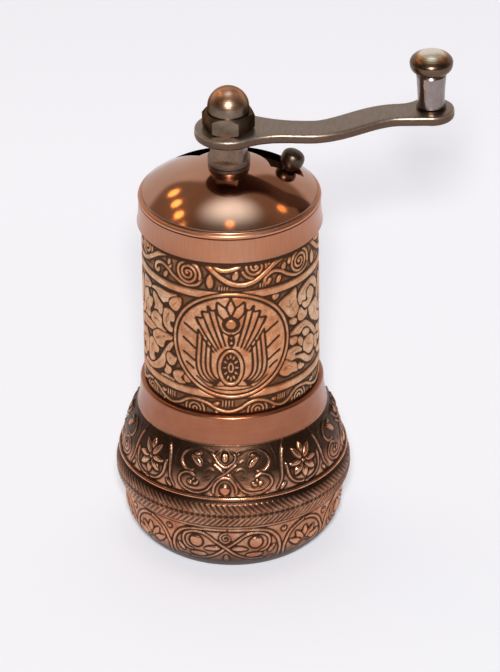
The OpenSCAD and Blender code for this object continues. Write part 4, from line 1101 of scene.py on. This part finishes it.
# That tone rises towards the back, where less of the lamp reaches the paper
strength = paper.ramp(paper.along("Y", -0.05, 0.2), (0.0, 1.02), (1.0, 1.34))
glow = paper.node("Emission", Color=(0.905, 0.905, 1.0), Strength=strength)
blend = paper.node("MixShader", Fac=paper.math("MULTIPLY", seen, 0.36))
paper.put(blend.inputs[1], paper.surface.outputs["BSDF"])
paper.put(blend.inputs[2], glow.outputs["Emission"])
paper.put(paper.tree.nodes["Material Output"].inputs["Surface"], blend.outputs["Shader"])
floor.data.materials.append(paper.material)


def round_lamp(name, place, aim, size, power, colour):
    """A round lamp that points at a spot; places and size in metres."""
    lamp = bpy.data.lights.new(name, "AREA")
    lamp.shape = "ELLIPSE"
    lamp.size = lamp.size_y = size
    lamp.energy = power
    lamp.color = colour
    obj = in_scene(name, lamp)
    obj.location = place
    obj.rotation_mode = "QUATERNION"
    obj.rotation_quaternion = (Vector(aim) - Vector(place)).to_track_quat("-Z", "Y")


round_lamp("key", (0, -1.08, 0.79), (0, 0, 0.05), 0.13, 16.8, (1.0, 0.99, 0.98))
# Small warm lamps round the dome: direction and watts
DOME = Vector((0, 0, 0.08))
LAMP_DISTANCE = 0.8
ROOM_LAMPS = (
    ((-0.484, 0.594, 0.643), 0.09), ((-0.517, 0.41, 0.751), 0.10), ((-0.537, 0.219, 0.814), 0.10),
    ((-0.545, 0.03, 0.838), 0.05), ((0.53, 0.3, 0.79), 0.04), ((0.0, -0.1, 0.995), 0.05),
)
for number, (toward, watts) in enumerate(ROOM_LAMPS):
    place = LAMP_DISTANCE * Vector(toward) + DOME
    round_lamp("lamp_%d" % number, place, DOME, 0.085, watts, (1.0, 0.52, 0.15))

# World: a pale wall at the back, higher in its middle, a dim warm room round it, and soft light overhead
world = bpy.data.worlds.new("studio")
bpy.context.scene.world = world
world.use_nodes = True
studio = Nodes(world.node_tree)
heading = studio.node("TexCoord").outputs["Generated"]
east, north, height = (studio.axis(heading, name) for name in "XYZ")


def fade(source, first, last, least=0.0):
    """From the least where the source is first to 1 where it is last."""
    node = studio.node("MapRange", Value=source, From_Min=first, From_Max=last, To_Min=least)
    node.interpolation_type = "SMOOTHSTEP"
    return node.outputs["Result"]


hill = fade(studio.math("ABSOLUTE", studio.math("ADD", east, 0.05)), 0.42, 0.14)
over_wall = studio.math("MULTIPLY_ADD", hill, -0.25, height)
wall = studio.math("MULTIPLY", fade(over_wall, 0.53, 0.44), fade(north, 0.3, 0.45))
# The light overhead is an oval, a little north of the zenith
OVAL_X, OVAL_Y, OVAL_NORTH = 0.42, 0.34, 0.11
outward = studio.length(heading, (1 / OVAL_X, 1 / OVAL_Y, 0), (0, -OVAL_NORTH / OVAL_Y, 0))
overhead = studio.math("MULTIPLY", fade(outward, 1.0, 0.1), fade(height, 0.3, 0.5))
room = studio.mix(wall, (0.30, 0.22, 0.16), (0.74, 0.70, 0.66))
sky = studio.tree.nodes["Background"].inputs
studio.put(sky["Color"], studio.mix(overhead, room, (2.2, 3.05, 3.5)))
studio.put(sky["Strength"], fade(north, -0.3, 0.3, 0.25))

# Camera: 30 degrees above the horizon, far off, leaning very slightly
DISTANCE = 1.2
ELEVATION = math.radians(30)
FOCAL_PIXELS = 5442
IMAGE_H = 672
LEAN = math.radians(-0.74)
aim = Vector((4.06 * MM, 0, 47.8 * MM))
lens = bpy.data.cameras.new("camera")
lens.sensor_width = 36
lens.lens = FOCAL_PIXELS * lens.sensor_width / IMAGE_H
lens.clip_start = 0.01
camera = in_scene("camera", lens)
back = Vector((0, -math.cos(ELEVATION), math.sin(ELEVATION)))
camera.location = aim + DISTANCE * back
camera.rotation_mode = "QUATERNION"
camera.rotation_quaternion = (-back).to_track_quat("-Z", "Y") @ Quaternion((0, 0, 1), LEAN)
bpy.context.scene.camera = camera

bpy.context.scene.view_settings.view_transform = "Standard"
